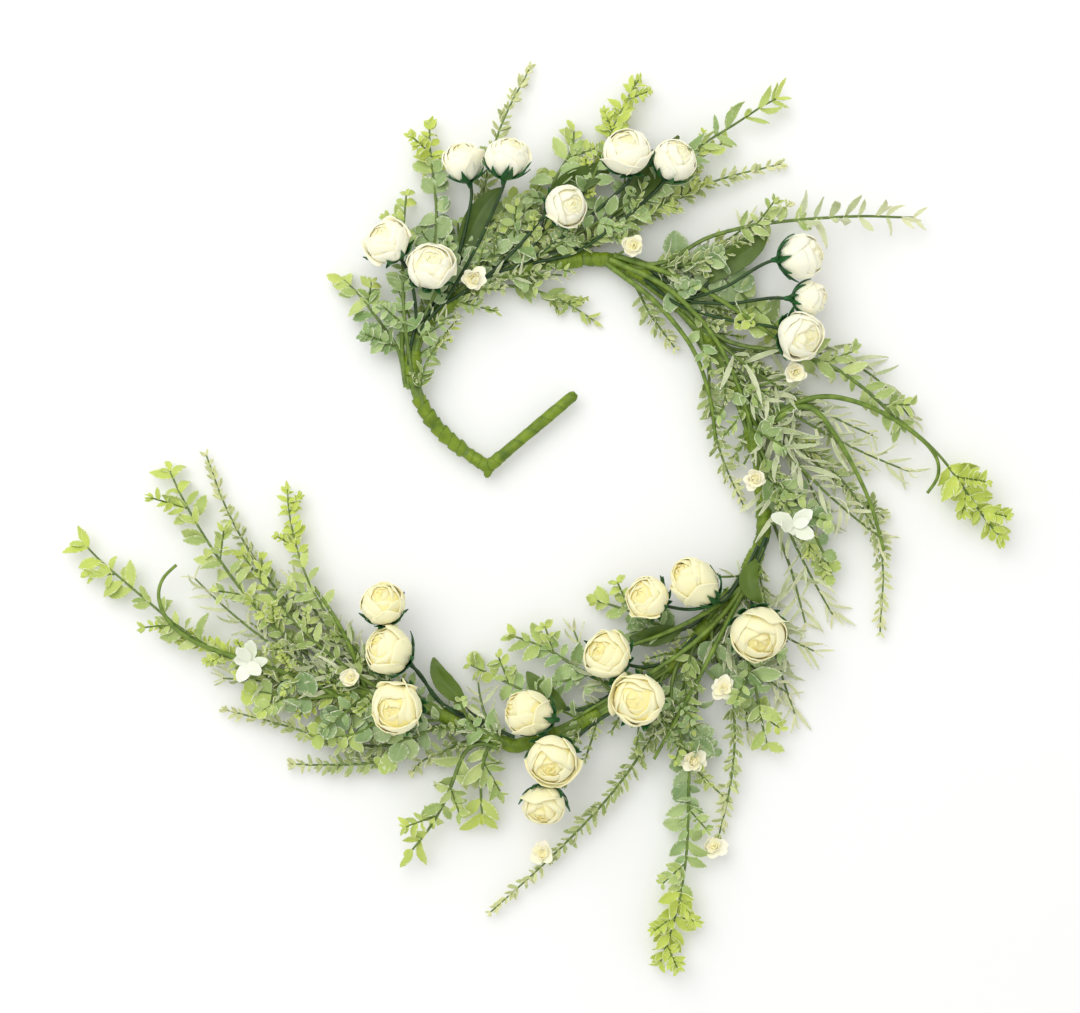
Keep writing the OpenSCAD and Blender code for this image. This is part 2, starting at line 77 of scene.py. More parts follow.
def evenPath(points, step):
    points = np.asarray(points, float)
    gaps = np.linalg.norm(np.diff(points, axis=0), axis=1)
    run = np.concatenate([[0], np.cumsum(gaps)])
    keep = np.concatenate([[True], gaps > 1e-7])
    run, points = run[keep], points[keep]
    marks = np.linspace(0, run[-1], max(3, int(run[-1] / step) + 1))
    return np.stack([np.interp(marks, run, points[:, k]) for k in range(3)], 1)


def smoothPath(points, rounds, step):
    p = evenPath(points, step)
    for _ in range(rounds):
        p[1:-1] = 0.25 * p[:-2] + 0.5 * p[1:-1] + 0.25 * p[2:]
    return p


def pathFrame(p):
    t = unit(np.gradient(p, axis=0))
    side = unit(np.cross(t, upWay + 1e-6))
    return t, side, np.cross(side, t)


# a stock of shells that becomes one piece
class Stock:
    def __init__(self):
        self.points, self.faces, self.data, self.paints, self.count = [], [], [], [], 0
        self.caps, self.capPaints = [], []

    def add(self, points, faces, data, paint=0):
        self.points.append(points)
        self.faces.append(faces + self.count)
        self.data.append(data)
        self.paints.append(np.full(len(faces), paint))
        self.count += len(points)

    def cap(self, corners, paint=0):
        self.caps.append([int(c) for c in corners])
        self.capPaints.append(paint)


def makePiece(name, stock, materials, nodes=(), sharp=55):
    mesh = bpy.data.meshes.new(name)
    faces = np.concatenate(stock.faces).tolist() + stock.caps
    mesh.from_pydata(np.concatenate(stock.points).tolist(), [], faces)
    layer = mesh.attributes.new("growth", "FLOAT_COLOR", "POINT")
    layer.data.foreach_set("color", np.concatenate(stock.data).astype(np.float32).ravel())
    paints = np.concatenate(stock.paints + [stock.capPaints]).astype(np.int32)
    mesh.polygons.foreach_set("material_index", paints)
    mesh.polygons.foreach_set("use_smooth", np.ones(len(faces), bool))
    mesh.set_sharp_from_angle(angle=math.radians(sharp))
    for material in materials:
        mesh.materials.append(material)
    piece = bpy.data.objects.new(name, mesh)
    bpy.context.scene.collection.objects.link(piece)
    if nodes:
        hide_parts(*nodes)
    return piece


shellPlans = {}


def shellPlan(rows, cols):  # the faces of a thin closed sheet: its two sides and its rim
    if (rows, cols) not in shellPlans:
        grid = np.arange(rows * cols).reshape(rows, cols)
        a, b = grid[:-1, :-1].ravel(), grid[:-1, 1:].ravel()
        c, d = grid[1:, 1:].ravel(), grid[1:, :-1].ravel()
        top = np.stack([a, b, c, d], 1)
        under = np.stack([d, c, b, a], 1) + rows * cols
        loop = np.concatenate([grid[0, :], grid[1:, -1], grid[-1, -2::-1], grid[-2:0:-1, 0]])
        after = np.roll(loop, -1)
        rim = np.stack([after, loop, loop + rows * cols, after + rows * cols], 1)
        shellPlans[(rows, cols)] = np.concatenate([top, under, rim])
    return shellPlans[(rows, cols)]


def addShells(stock, sheets, thick, data, paint):
    # sheets: many grids of points, data: the same grids with four numbers a point
    n, rows, cols, _ = sheets.shape
    normal = unit(np.cross(np.gradient(sheets, axis=2), np.gradient(sheets, axis=1)))
    both = np.stack([sheets + normal * thick / 2, sheets - normal * thick / 2], 1)
    data = np.stack([data, data], 1)
    plan = shellPlan(rows, cols)
    starts = np.arange(n)[:, None, None] * (2 * rows * cols)
    stock.add(both.reshape(-1, 3), (plan[None] + starts).reshape(-1, 4), data.reshape(-1, 4), paint)


def growLeaves(stock, base, way, face, length, width, look, rand, reach, paint=0):
    # base: where each leaf leaves its twig, way: where it points, face: about where its upper side looks
    n = len(base)
    v = np.linspace(0, 1, look["rows"])[None, :, None]
    u = np.linspace(-1, 1, look["cols"])[None, None, :]
    way = unit(way)
    side = unit(np.cross(face, way))
    up = np.cross(way, side)
    length, width, reach = [np.broadcast_to(q, n)[:, None, None] for q in (length, width, reach)]
    curl = (look["curl"] + look["curlSpread"] * rand.normal(size=n))[:, None, None] + 1e-4
    sickle = (look["sickle"] * rand.normal(size=n))[:, None, None]
    phase = rand.uniform(0, anyPhase, n)[:, None, None]
    half = width / 2 * np.interp(v, look["outlineAt"], look["outline"])
    x = length * np.sin(curl * v) / curl
    z = length * (1 - np.cos(curl * v)) / curl + look["fold"] * half * np.abs(u)
    z = z + look["wave"] * length * np.sin(look["waves"] * v + phase) * u
    y = half * u + sickle * length * v ** 2
    sheets = base[:, None, None] + x[..., None] * way[:, None, None]
    sheets = sheets + y[..., None] * side[:, None, None] + z[..., None] * up[:, None, None]
    tone = rand.uniform(0, 1, n)[:, None, None]
    data = np.stack(np.broadcast_arrays(np.abs(u), v, tone, reach), -1)
    sheets[..., 2] = settle(sheets[..., 2])
    addShells(stock, sheets, look["thick"], data, paint)


tapeTurn = {"bulge": 0.7, "edgeAt": 0.85, "edgeLong": 0.15}  # how a turn of tape swells, and where its edge drops


def growStem(stock, path, radius, sides=8, paint=0, ridge=0.0, pitch=4 * mm, reach=0.0):
    # a round stem along a path; with a ridge it is wound with tape, and each turn laps over the last
    n = len(path)
    t, side, up = pathFrame(path)
    run = np.concatenate([[0], np.cumsum(np.linalg.norm(np.diff(path, axis=0), axis=1))])
    around = np.arange(sides) / sides
    turn = (run[:, None] / pitch + around[None]) % 1.0
    edge = np.clip((turn - tapeTurn["edgeAt"]) / tapeTurn["edgeLong"], 0, 1)
    r = np.broadcast_to(radius, n)[:, None] + ridge * (turn ** tapeTurn["bulge"] - edge)
    a = 2 * math.pi * around[None]
    ring = path[:, None] + (r * np.cos(a))[..., None] * side[:, None]
    ring = ring + (r * np.sin(a))[..., None] * up[:, None]
    grid = np.arange(n * sides).reshape(n, sides)
    nxt = np.roll(grid, -1, axis=1)
    faces = np.stack([grid[:-1].ravel(), grid[1:].ravel(), nxt[1:].ravel(), nxt[:-1].ravel()], 1)
    data = np.zeros((n, sides, 4))
    data[..., 0], data[..., 1] = turn, (run / max(run[-1], 1e-9))[:, None]
    data[..., 2], data[..., 3] = around[None], reach
    begin = stock.count
    stock.add(ring.reshape(-1, 3), faces, data.reshape(-1, 4), paint)
    stock.cap(begin + grid[0], paint)
    stock.cap(begin + grid[-1][::-1], paint)


# shader recipes
class Signal:  # one output of a node, which takes part in sums and products
    def __init__(self, recipe, socket):
        self.recipe, self.socket = recipe, socket

    def calc(self, operation, *values):
        return self.recipe.node("ShaderNodeMath", {"operation": operation}, dict(enumerate(values)))

    def __add__(self, other): return self.calc("ADD", self, other)
    def __radd__(self, other): return self.calc("ADD", other, self)
    def __sub__(self, other): return self.calc("SUBTRACT", self, other)
    def __rsub__(self, other): return self.calc("SUBTRACT", other, self)
    def __mul__(self, other): return self.calc("MULTIPLY", self, other)
    def __rmul__(self, other): return self.calc("MULTIPLY", other, self)
    def __pow__(self, other): return self.calc("POWER", self, other)

    def clamped(self):
        return self.recipe.node("ShaderNodeClamp", {}, {"Value": self})


class Recipe:
    def __init__(self, name):
        self.material = bpy.data.materials.new(name)
        self.material.use_nodes = True
        self.tree = self.material.node_tree
        self.shader = self.tree.nodes["Principled BSDF"]

    def node(self, kind, settings, inputs, out=0):
        made = self.tree.nodes.new(kind)
        for key, value in settings.items():
            setattr(made, key, value)
        for key, value in inputs.items():
            if isinstance(value, Signal):
                self.tree.links.new(value.socket, made.inputs[key])
            else:
                made.inputs[key].default_value = value
        return Signal(self, made.outputs[out])

    def noise(self, scale, detail=3.0, stretch=(1, 1, 1)):
        place = self.node("ShaderNodeTexCoord", {}, {}, "Object")
        place = self.node("ShaderNodeMapping", {}, {"Vector": place, "Scale": stretch})
        return self.node("ShaderNodeTexNoise", {}, {"Vector": place, "Scale": scale, "Detail": detail})

    def mix(self, mask, first, second):
        return self.node("ShaderNodeMix", {"data_type": "RGBA"}, {0: mask, 6: first, 7: second}, 2)

    def growth(self):  # the four numbers that each piece stores at its points
        read = self.node("ShaderNodeAttribute", {"attribute_name": "growth"}, {}, "Color")
        parts = self.node("ShaderNodeSeparateColor", {}, {"Color": read}).socket.node.outputs
        last = read.socket.node.outputs["Alpha"]
        return [Signal(self, parts[k]) for k in range(3)] + [Signal(self, last)]

    def finish(self, colour, roughness, height=None, strength=0.4, depth=0.0004, **constants):
        for key, value in (("Base Color", colour), ("Roughness", roughness)):
            if isinstance(value, Signal):
                self.tree.links.new(value.socket, self.shader.inputs[key])
            else:
                self.shader.inputs[key].default_value = value
        if height is not None:
            relief = {"Strength": strength, "Distance": depth, "Height": height}
            bump = self.node("ShaderNodeBump", {}, relief)
            self.tree.links.new(bump.socket, self.shader.inputs["Normal"])
        for key, value in constants.items():
            self.shader.inputs[key.replace("_", " ")].default_value = value
        return self.material


def paint(*shown):  # a colour as a screen shows it, 0 to 255
    return tuple((c / 255 / 12.92) if c < 11 else ((c / 255 + 0.055) / 1.055) ** 2.4 for c in shown) + (1.0,)


def leafMaterial(name, deep, fresh, frost, tipColour, frosted=0.8, gloss=0.55):
    m = Recipe(name)
    edge, along, tone, reach = m.growth()
    patch, speckle = m.noise(160), m.noise(900, 4)
    colour = m.mix((tone * 0.8 + patch * 0.9 - 0.35).clamped(), deep, fresh)
    colour = m.mix(((reach - 0.62) * 2.2 + (tone - 0.5) * 0.5).clamped(), colour, tipColour)
    dusty = ((tone * 7.3).calc("FRACT") * 1.7 - 0.85).clamped()  # some leaves are paler all over
    worn = ((edge ** 2.5 * 0.6 + along ** 6 * 0.4 + speckle * 2.0 - 1.35) * 1.8).clamped()
    colour = m.mix(worn * frosted, colour, frost)
    colour = m.mix(dusty * frosted * 0.8, colour, frost)
    rib = (1 - edge * 7).clamped()
    colour = m.mix(rib * 0.12, colour, frost)
    return m.finish(colour, speckle * 0.2 + (gloss - 0.1), rib * 0.5 + speckle * 0.5, 0.35, 0.0003,
                    Subsurface_Weight=0.12, Subsurface_Radius=(0.001, 0.002, 0.0005), Specular_IOR_Level=0.35)


def stemMaterial(name, dark, light, gloss=0.42):
    m = Recipe(name)
    streak, grain = m.noise(220, 2, (1, 1, 0.4)), m.noise(2600, 3)
    colour = m.mix((streak * 1.6 - 0.3 + (grain - 0.5) * 0.5).clamped(), dark, light)
    return m.finish(colour, grain * 0.25 + (gloss - 0.12), streak * 0.6 + grain * 0.4, 0.3, 0.0003,
                    Specular_IOR_Level=0.4)


def tapeMaterial(name, dark, light):
    m = Recipe(name)
    turn = m.growth()[0]
    cloud, crepe = m.noise(130), m.noise(3200, 3, (1, 1, 0.5))
    # painted shade: each turn of tape darkens towards its lapping edge, in the step where it drops onto the last
    # turn
    lapShade = (turn * 4 - 3).clamped()
    colour = m.mix((cloud * 1.5 - 0.25 + (crepe - 0.5) * 0.7).clamped(), dark, light)
    colour = m.mix(lapShade * 0.9, colour, dark)
    height = crepe * 0.7 + turn * 0.3
    return m.finish(colour, crepe * 0.3 + 0.35, height, 0.45, 0.0003, Specular_IOR_Level=0.4)


def petalMaterial(name, cream, heart, fold):
    m = Recipe(name)
    _, along, tone, depth = m.growth()
    weave, cloud = m.noise(3800, 2), m.noise(90, 3)
    # the heart colour on the inner layers is partly the flower's own warmer centre and partly painted shade deep
    # inside the bud
    colour = m.mix((depth * 1.1 - 0.12 + (cloud - 0.5) * 0.5).clamped(), cream, heart)
    # painted shade: the fold colour darkens each petal towards its base, where petals tuck in and crease
    colour = m.mix(((0.75 - along) * 0.55 + (tone - 0.5) * 0.15).clamped() * 0.7, colour, fold)
    height = weave * 0.5 + m.noise(420, 3) * 0.5
    return m.finish(colour, weave * 0.1 + 0.66, height, 0.3, 0.0003, Subsurface_Weight=0.25,
                    Subsurface_Radius=(0.004, 0.003, 0.0015), Sheen_Weight=0.15, Specular_IOR_Level=0.25)


heatherPaint = leafMaterial("heatherLeaf", paint(144, 164, 96), paint(190, 204, 136), paint(240, 238, 208),
                            paint(228, 230, 172), 0.75)
eucalyptusPaint = leafMaterial("eucalyptusLeaf", paint(126, 158, 92), paint(180, 202, 134),
                               paint(238, 240, 216), paint(198, 212, 104), 0.85)
roundPaint = leafMaterial("roundLeaf", paint(126, 156, 100), paint(176, 196, 138), paint(236, 238, 216),
                          paint(188, 206, 98), 0.8)
willowPaint = leafMaterial("willowLeaf", paint(174, 188, 136), paint(212, 218, 178), paint(244, 242, 224),
                           paint(224, 226, 178), 0.9)
lacyPaint = leafMaterial("lacyLeaf", paint(124, 152, 76), paint(182, 200, 120), paint(240, 240, 208),
                         paint(200, 212, 114), 0.85)
branchPaint = leafMaterial("branchLeaf", paint(146, 170, 90), paint(196, 210, 134), paint(242, 242, 216),
                           paint(196, 212, 92), 0.8)
darkLeafPaint = leafMaterial("roseLeaf", paint(60, 84, 22), paint(94, 118, 38), paint(132, 152, 76),
                             paint(90, 114, 38), 0.12, 0.45)
whiteLeafPaint = leafMaterial("whiteLeaf", paint(224, 230, 206), paint(242, 244, 230), paint(252, 252, 244),
                              paint(240, 242, 226), 0.8)
stemPaint = stemMaterial("greenStem", paint(70, 98, 28), paint(136, 162, 62))
twigPaint = stemMaterial("paleTwig", paint(64, 88, 28), paint(124, 148, 62))
roseStemPaint = stemMaterial("roseStem", paint(20, 44, 14), paint(48, 84, 30), 0.38)
calyxPaint = stemMaterial("calyx", paint(14, 62, 26), paint(38, 108, 48), 0.4)
tapePaint = tapeMaterial("stemTape", paint(70, 98, 10), paint(144, 168, 38))
# the third colour of each petal material is painted shade, laid towards the petal bases
petalPaint = petalMaterial("petal", paint(252, 249, 224), paint(248, 241, 188), paint(244, 236, 192))
warmPetalPaint = petalMaterial("warmPetal", paint(250, 244, 200), paint(246, 232, 148), paint(240, 226, 156))
flowerPaint = petalMaterial("smallFlower", paint(254, 250, 226), paint(244, 234, 160), paint(240, 236, 196))
wirePaint = stemMaterial("steelWire", paint(120, 122, 126), paint(168, 170, 174), 0.3)
wirePaint.node_tree.nodes["Principled BSDF"].inputs["Metallic"].default_value = 1.0
foliage = [lacyPaint, twigPaint, heatherPaint, eucalyptusPaint, roundPaint, willowPaint, branchPaint,
           stemPaint]  # the "at" of a spray's look is a place in this list
print("stage: materials mixed")


# reading the frame's meshes
def nodeMesh(node):
    mesh = frame["nodes"][node].data
    co = np.array([v.co for v in mesh.vertices], float)
    cells = np.round(co / 1e-6).astype(np.int64)
    _, first, same = np.unique(cells, axis=0, return_index=True, return_inverse=True)
    same = np.asarray(same).ravel()
    edges = same[np.array([e.vertices[:] for e in mesh.edges], int)]
    links = [[] for _ in first]
    points = co[first]
    for a, b in edges:
        if a != b:
            d = float(np.linalg.norm(points[a] - points[b]))
            links[a].append((b, d))
            links[b].append((a, d))
    return points, links


def spread(links, sources, n):  # shortest ways over a mesh from its sources
    dist, back = np.full(n, np.inf), np.full(n, -1)
    heap = [(0.0, int(s)) for s in sources]
    for _, s in heap:
        dist[s] = 0
    heapq.heapify(heap)
    while heap:
        d, i = heapq.heappop(heap)
        if d > dist[i]:
            continue
        for j, w in links[i]:
            if d + w < dist[j]:
                dist[j], back[j] = d + w, i
                heapq.heappush(heap, (d + w, j))
    return dist, back


def islands(links):
    seen, groups = np.full(len(links), False), []
    for s in range(len(links)):
        if not seen[s]:
            group, stack = [], [s]
            seen[s] = True
            while stack:
                i = stack.pop()
                group.append(i)
                for j, _ in links[i]:
                    if not seen[j]:
                        seen[j] = True
                        stack.append(j)
            groups.append(np.array(group))
    return groups


def nearest(points, line):
    d = np.linalg.norm(points[:, None] - line[None], axis=2)
    return d.min(1), d.argmin(1)


joints = {j["child"]: j for j in frame["joints"]}
knees = {name: np.array(j["pos_m"], float) for name, j in joints.items()}
garlands = ("upper", "right", "lower", "tail")
kneeBefore = {"upper": knees["hook"], "right": knees["right_garland"], "lower": knees["lower_garland"],
              "tail": knees["tail_garland"]}
kneeAfter = {"upper": knees["right_garland"], "right": knees["lower_garland"], "lower": knees["tail_garland"]}


lineStep = 2 * mm  # from point to point of a stem's line


def stemLine(name):
    # the middle of the core wire, averaged ring by ring, with the knees at its ends
    points, links = nodeMesh(name + "_core_wire")
    start = int(np.argmin(np.linalg.norm(points - kneeBefore[name], axis=1)))
    dist, _ = spread(links, [start], len(points))
    line = []
    for s in np.arange(3 * mm, dist.max() - 2 * mm, 4 * mm):
        w = np.exp(-((dist - s) / (3.5 * mm)) ** 2)
        line.append((w[:, None] * points).sum(0) / w.sum())
    if name in kneeAfter:
        end = kneeAfter[name]
    else:
        end = points[dist.argmax()] * 0.5 + points[dist > dist.max() - mm].mean(0) * 0.5
    clear = 5 * mm  # near an end the averages are one-sided
    body = [q for q in line if min(np.linalg.norm(q - kneeBefore[name]), np.linalg.norm(q - end)) > clear]
    return smoothPath(np.array([kneeBefore[name]] + body + [end]), 6, lineStep)


lines = {name: stemLine(name) for name in garlands}
print("stage: stem lines", {k: len(v) for k, v in lines.items()})


tracing = {"root": 7.6 * mm, "cover": 2.8 * mm, "least": 24 * mm}  # a twig's root is this near to the stem


def traceRoutes(node, name, leafReach, least=tracing["least"]):
    # every twig of a node, as a path from the main stem to its tip
    points, links = nodeMesh(node)
    away, _ = nearest(points, lines[name])
    roots = np.where(away < tracing["root"])[0]
    if len(roots) == 0:
        roots = [int(away.argmin())]
    dist, back = spread(links, roots, len(points))
    routes, covered = [], np.full(len(points), False)
    while True:
        off = spread(links, np.where(covered)[0], len(points))[0]  # how far from the twigs traced so far
        off = np.where(np.isfinite(off), off, dist)
        left = np.where((off > leafReach) & np.isfinite(dist), dist, 0)
        tip = int(left.argmax())
        if left[tip] < least:
            break
        way, i = [tip], int(back[tip])
        while i >= 0:
            way.append(i)
            i = -1 if covered[i] else int(back[i])
        way = points[way[::-1]]
        covered |= nearest(points, evenPath(way, mm))[0] < tracing["cover"]
        if len(way) > 2:
            routes.append(way)
    return routes


boundOut = 5.4 * mm  # a bound twig's middle lies this far from the main stem's


def hugged(way, name, back=16 * mm):
    # a twig's path, with its bound end laid along the main stem
    line = lines[name]
    k = int(nearest(way[:1], line)[1][0])
    offset = way[0] - line[k]
    offset = unit(offset) * min(np.linalg.norm(offset), boundOut)
    first = max(0, k - int(back / lineStep))
    lead = line[first:max(first + 1, k - 1):2] + offset
    return np.concatenate([lead, way[1:]]) if len(lead) else way


# leaf looks: an outline as half widths along the leaf, and how it curls, bends aside, folds and waves
oval = {"rows": 6, "cols": 5, "outlineAt": [0, 0.12, 0.4, 0.7, 0.9, 1], "outline": [0.12, 0.45, 1, 0.88, 0.5, 0.12],
        "curl": -0.5, "curlSpread": 0.7, "sickle": 0.1, "fold": 0.28, "wave": 0.03, "waves": 7, "thick": 0.35 * mm}
roundish = dict(oval, outline=[0.14, 0.6, 1, 0.96, 0.66, 0.2], fold=0.16, wave=0.035, curl=-0.25)
slender = dict(oval, cols=3, outline=[0.3, 0.7, 1, 0.75, 0.4, 0.1], curl=0.7, sickle=0.2, fold=0.2)
needle = dict(oval, rows=4, cols=3, outlineAt=[0, 0.35, 0.75, 1], outline=[0.4, 0.9, 1, 0.35], curl=0.6,
              curlSpread=0.4, sickle=0.08, fold=0.25, wave=0, thick=0.4 * mm)
broad = {"outlineAt": [0, 0.1, 0.3, 0.55, 0.8, 0.93, 1], "outline": [0.1, 0.45, 0.9, 1, 0.72, 0.36, 0.06],
         "thick": 0.5 * mm}

# spray looks: "whorl" leaves every "gap" of twig, at "angle" to it, smaller by "shrink" towards the tip, spread
# flat by "flat", with "shoots" side shoots to every 7 mm; "reach" is how far its solid's leaves stand off the twig
paired = {"whorl": 2, "twig": 0.9 * mm, "shoots": 0, "flat": 0.7, "reach": 19 * mm}
sprayLooks = {
    "heather": dict(paired, gap=4.0 * mm, whorl=4, length=8.2 * mm, width=2.9 * mm, angle=62, leaf=needle, at=2,
                    twig=0.75 * mm, bare=0.1, shrink=0.55, flat=0.5, reach=13 * mm),
    "eucalyptus": dict(paired, gap=6.8 * mm, length=14.0 * mm, width=7.8 * mm, angle=58, leaf=oval, at=3,
                       bare=0.12, shrink=0.7, shoots=0.4),
    "round": dict(paired, gap=7.0 * mm, length=12.5 * mm, width=11.2 * mm, angle=60, leaf=roundish, at=4,
                  bare=0.12, shrink=0.75, shoots=0.25),
    "willow": dict(paired, gap=6.6 * mm, length=22 * mm, width=2.9 * mm, angle=50, leaf=slender, at=5,
                   twig=0.8 * mm, bare=0.08, shrink=0.6, flat=0.6, reach=30 * mm),
    "lacy": dict(paired, gap=4.0 * mm, length=9.5 * mm, width=3.8 * mm, angle=50, leaf=slender, at=0,
                 twig=0.7 * mm, bare=0.05, shrink=0.7, shoots=0.5, flat=0.5, reach=15 * mm),
    "branch": dict(paired, gap=7.6 * mm, length=15.0 * mm, width=6.4 * mm, angle=50, leaf=oval, at=6,
                   twig=1.0 * mm, bare=0.3, shrink=0.8, shoots=0.35, flat=0.65),
    "feather": dict(paired, gap=8.4 * mm, length=17.5 * mm, width=5.2 * mm, angle=52, leaf=slender, at=3,
                    shrink=0.7),
    "curled": dict(paired, gap=7.6 * mm, length=18 * mm, width=4.4 * mm, angle=58, leaf=slender, at=5, shrink=0.7),
    "tuft": dict(paired, gap=4.2 * mm, whorl=3, length=11.5 * mm, width=5.6 * mm, angle=54, leaf=oval, at=6,
                 shrink=0.6, shoots=0.6, flat=0.45),
}


def leafOut(stock, path, look, rand, size, bare, reachFrom, reachTo):
    # leaves along a path in whorls, each turned from the last, and smaller towards the tip
    t, side, up = pathFrame(path)
    run = np.concatenate([[0], np.cumsum(np.linalg.norm(np.diff(path, axis=0), axis=1))])
    begin = run[-1] * bare
    marks = np.arange(begin, run[-1], look["gap"] * (0.6 + 0.4 * size))
    if len(marks) == 0:
        return
    marks = marks + rand.uniform(-0.25, 0.25, len(marks)) * look["gap"]
    marks = np.concatenate([np.clip(marks, 0, run[-1]), [run[-1]]])
    spots = np.interp(marks, run, np.arange(len(path)))
    k = np.clip(spots.astype(int), 0, len(path) - 2)
    f = (spots - k)[:, None]
    here = path[k] * (1 - f) + path[k + 1] * f
    far = marks / run[-1]
    many = look["whorl"]
    turn = np.arange(len(marks)) * (math.pi / 2 if many == 2 else 0.8)
    spins = turn[:, None] + np.arange(many)[None] * 2 * math.pi / many
    spins = spins + rand.normal(size=(len(marks), many)) * 0.4
    here = np.repeat(here, many, 0)
    tt, ss, uu = [np.repeat(q[k], many, 0) for q in (t, side, up)]
    far = np.repeat(far, many)
    spins = spins.ravel()
    lift = np.sin(spins) * (1 - look["flat"]) + np.abs(np.sin(spins)) * look["flat"] * 0.35
    across = np.cos(spins) + np.sign(np.cos(spins) + 1e-9) * look["flat"] * np.abs(np.sin(spins)) * 0.8
    angle = np.radians(look["angle"]) * (1 - 0.35 * far ** 3) + rand.normal(size=len(far)) * 0.2
    out = unit(across[:, None] * ss + lift[:, None] * uu)
    way = np.cos(angle)[:, None] * tt + np.sin(angle)[:, None] * out
    face = upWay[None] * (0.55 + look["flat"]) + 0.5 * (tt - (tt * way).sum(1)[:, None] * way)
    face = face + 0.32 * rand.normal(size=way.shape)
    scale = size * (1 - (1 - look["shrink"]) * far) * rand.uniform(0.62, 1.2, len(far))
    scale = np.where(far > 0.985, scale * 0.75, scale)
    reach = reachFrom + (reachTo - reachFrom) * far
    growLeaves(stock, here, way, face, look["length"] * scale, look["width"] * scale, look["leaf"], rand, reach,
               look["at"])


def growSpray(stock, path, parts, rand, size=1.0):
    # parts: where along the twig leaves grow, as (start, end, look, size); between them the twig is bare
    n = len(path)
    growStem(stock, path, sprayLooks[parts[0][2]]["twig"] * np.linspace(1.25, 0.55, n), 6, paint=1)
    length = np.linalg.norm(np.diff(path, axis=0), axis=1).sum()
    for start, end, kind, scale in parts:
        look = sprayLooks[kind]
        a, b = int(start * (n - 1)), min(n - 1, int(end * (n - 1)) + 1)
        if b - a < 3:
            continue
        stretch, scale = path[a:b + 1], scale * size
        more = 0.35 if kind == "tuft" else 0.0  # a tuft is as lime as the tip of a spray
        leafOut(stock, stretch, look, rand, scale, 0.0, start + more, end + more)
        t, side, up = pathFrame(stretch)
        count = int(look["shoots"] * length * (end - start) / (7 * mm))
        for s in range(count):
            far = (s + rand.uniform(0.1, 0.7)) / count
            k = int(far * (len(stretch) - 2))
            hand = 1 if s % 2 else -1
            out = unit(0.75 * t[k] + hand * 0.7 * side[k] + rand.uniform(-0.15, 0.5) * upWay)
            long = look["length"] * rand.uniform(0.8, 1.4) * (1.15 - 0.4 * far) * scale
            steps = np.linspace(0, 1, 6)[:, None]
            shoot = stretch[k] + out * steps * long + upWay * (steps ** 2) * long * rand.uniform(-0.05, 0.25)
            shoot[:, 2] = settle(shoot[:, 2])
            growStem(stock, shoot, 0.45 * mm, 4, paint=1)
            small = dict(look, gap=look["gap"] * 0.62)
            where = start + far * (end - start) + more
            leafOut(stock, shoot, small, rand, 0.6 * scale, 0.15, where, where + 0.2)


def archPath(way, rise, rand):
    # a traced path made smooth, lifted in a gentle arch and made a little uneven
    p = smoothPath(way, 8, 3 * mm)
    s = np.linspace(0, 1, len(p))
    p[:, 2] += rise * np.sin(math.pi * np.clip(s * 1.1 - 0.15, 0, 1)) ** 2
    drift = rand.normal(size=2)[0]
    p[:, 2] += 0.6 * mm * np.sin(9 * s + drift)
    p[:, 2] = settle(p[:, 2], 1.0 * mm)
    return p


# sprays
binding = {"near": 9 * mm, "lead": 16 * mm, "mostBare": 0.5, "kneeRoom": 4 * mm, "mostBareAtKnee": 0.7}


def dressNode(node, name, kind, rise=4 * mm, parts=None):
    # parts: for some of its twigs, counted by their tips from left to right, which looks grow where
    rand = seeded(node)
    look = sprayLooks[kind]
    routes = traceRoutes(node, name, look["reach"])
    routes.sort(key=lambda way: way[-1][0])
    stock = Stock()
    tips = []
    for i, way in enumerate(routes):
        atStem = nearest(way[:1], lines[name])[0][0] < binding["near"]
        path = archPath(hugged(way, name) if atStem else way, rise * rand.uniform(0.5, 1.4), rand)
        bare = look["bare"]
        if atStem:
            bare += binding["lead"] / (np.linalg.norm(np.diff(path, axis=0), axis=1).sum() + 1e-9)
        bare = min(binding["mostBare"], bare)
        if atStem and name in kneeAfter:  # its leaves begin clear of the next bend
            away = np.linalg.norm(path - kneeAfter[name], axis=1)
            close = np.where(away < look["length"] + binding["kneeRoom"])[0]
            if len(close):
                bare = max(bare, min(binding["mostBareAtKnee"], (close.max() + 1) / len(path)))
        growSpray(stock, path, (parts or {}).get(i, [(bare, 1.0, kind, 1.0)]), rand)
        tips.append([round(float(q) * 1000) for q in path[-1][:2]])
    words = node.split("_")
    pieceName = words[0] + "".join(w.capitalize() for w in words[1:])
    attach(makePiece(pieceName, stock, foliage, [node]), name + "_garland")
    print("sprays", node, kind, tips, stock.count)


dressNode("upper_heather", "upper", "heather")
dressNode("upper_eucalyptus", "upper", "eucalyptus", parts={
    0: [(0.25, 1.0, "eucalyptus", 1.1)],
    1: [(0.3, 0.78, "round", 1.0), (0.8, 1.0, "tuft", 1.0)],
    4: [(0.3, 0.72, "eucalyptus", 0.9), (0.72, 1.0, "tuft", 0.9)],
    5: [(0.3, 0.6, "eucalyptus", 1.0), (0.5, 1.0, "feather", 1.1)]})
dressNode("upper_lacy_fern", "upper", "lacy")
dressNode("right_heather", "right", "heather")
dressNode("right_eucalyptus", "right", "round", parts={
    0: [(0.25, 1.0, "round", 1.25)],
    1: [(0.3, 1.0, "round", 1.1)]})
dressNode("right_long_branches", "right", "branch", 6 * mm, {
    0: [(0.42, 0.6, "branch", 0.8), (0.62, 1.0, "curled", 0.95)],
    1: [(0.3, 0.42, "branch", 1.0), (0.48, 0.6, "branch", 1.1), (0.78, 1.0, "tuft", 1.25)]})
dressNode("right_willow", "right", "willow")
dressNode("lower_heather", "lower", "heather")
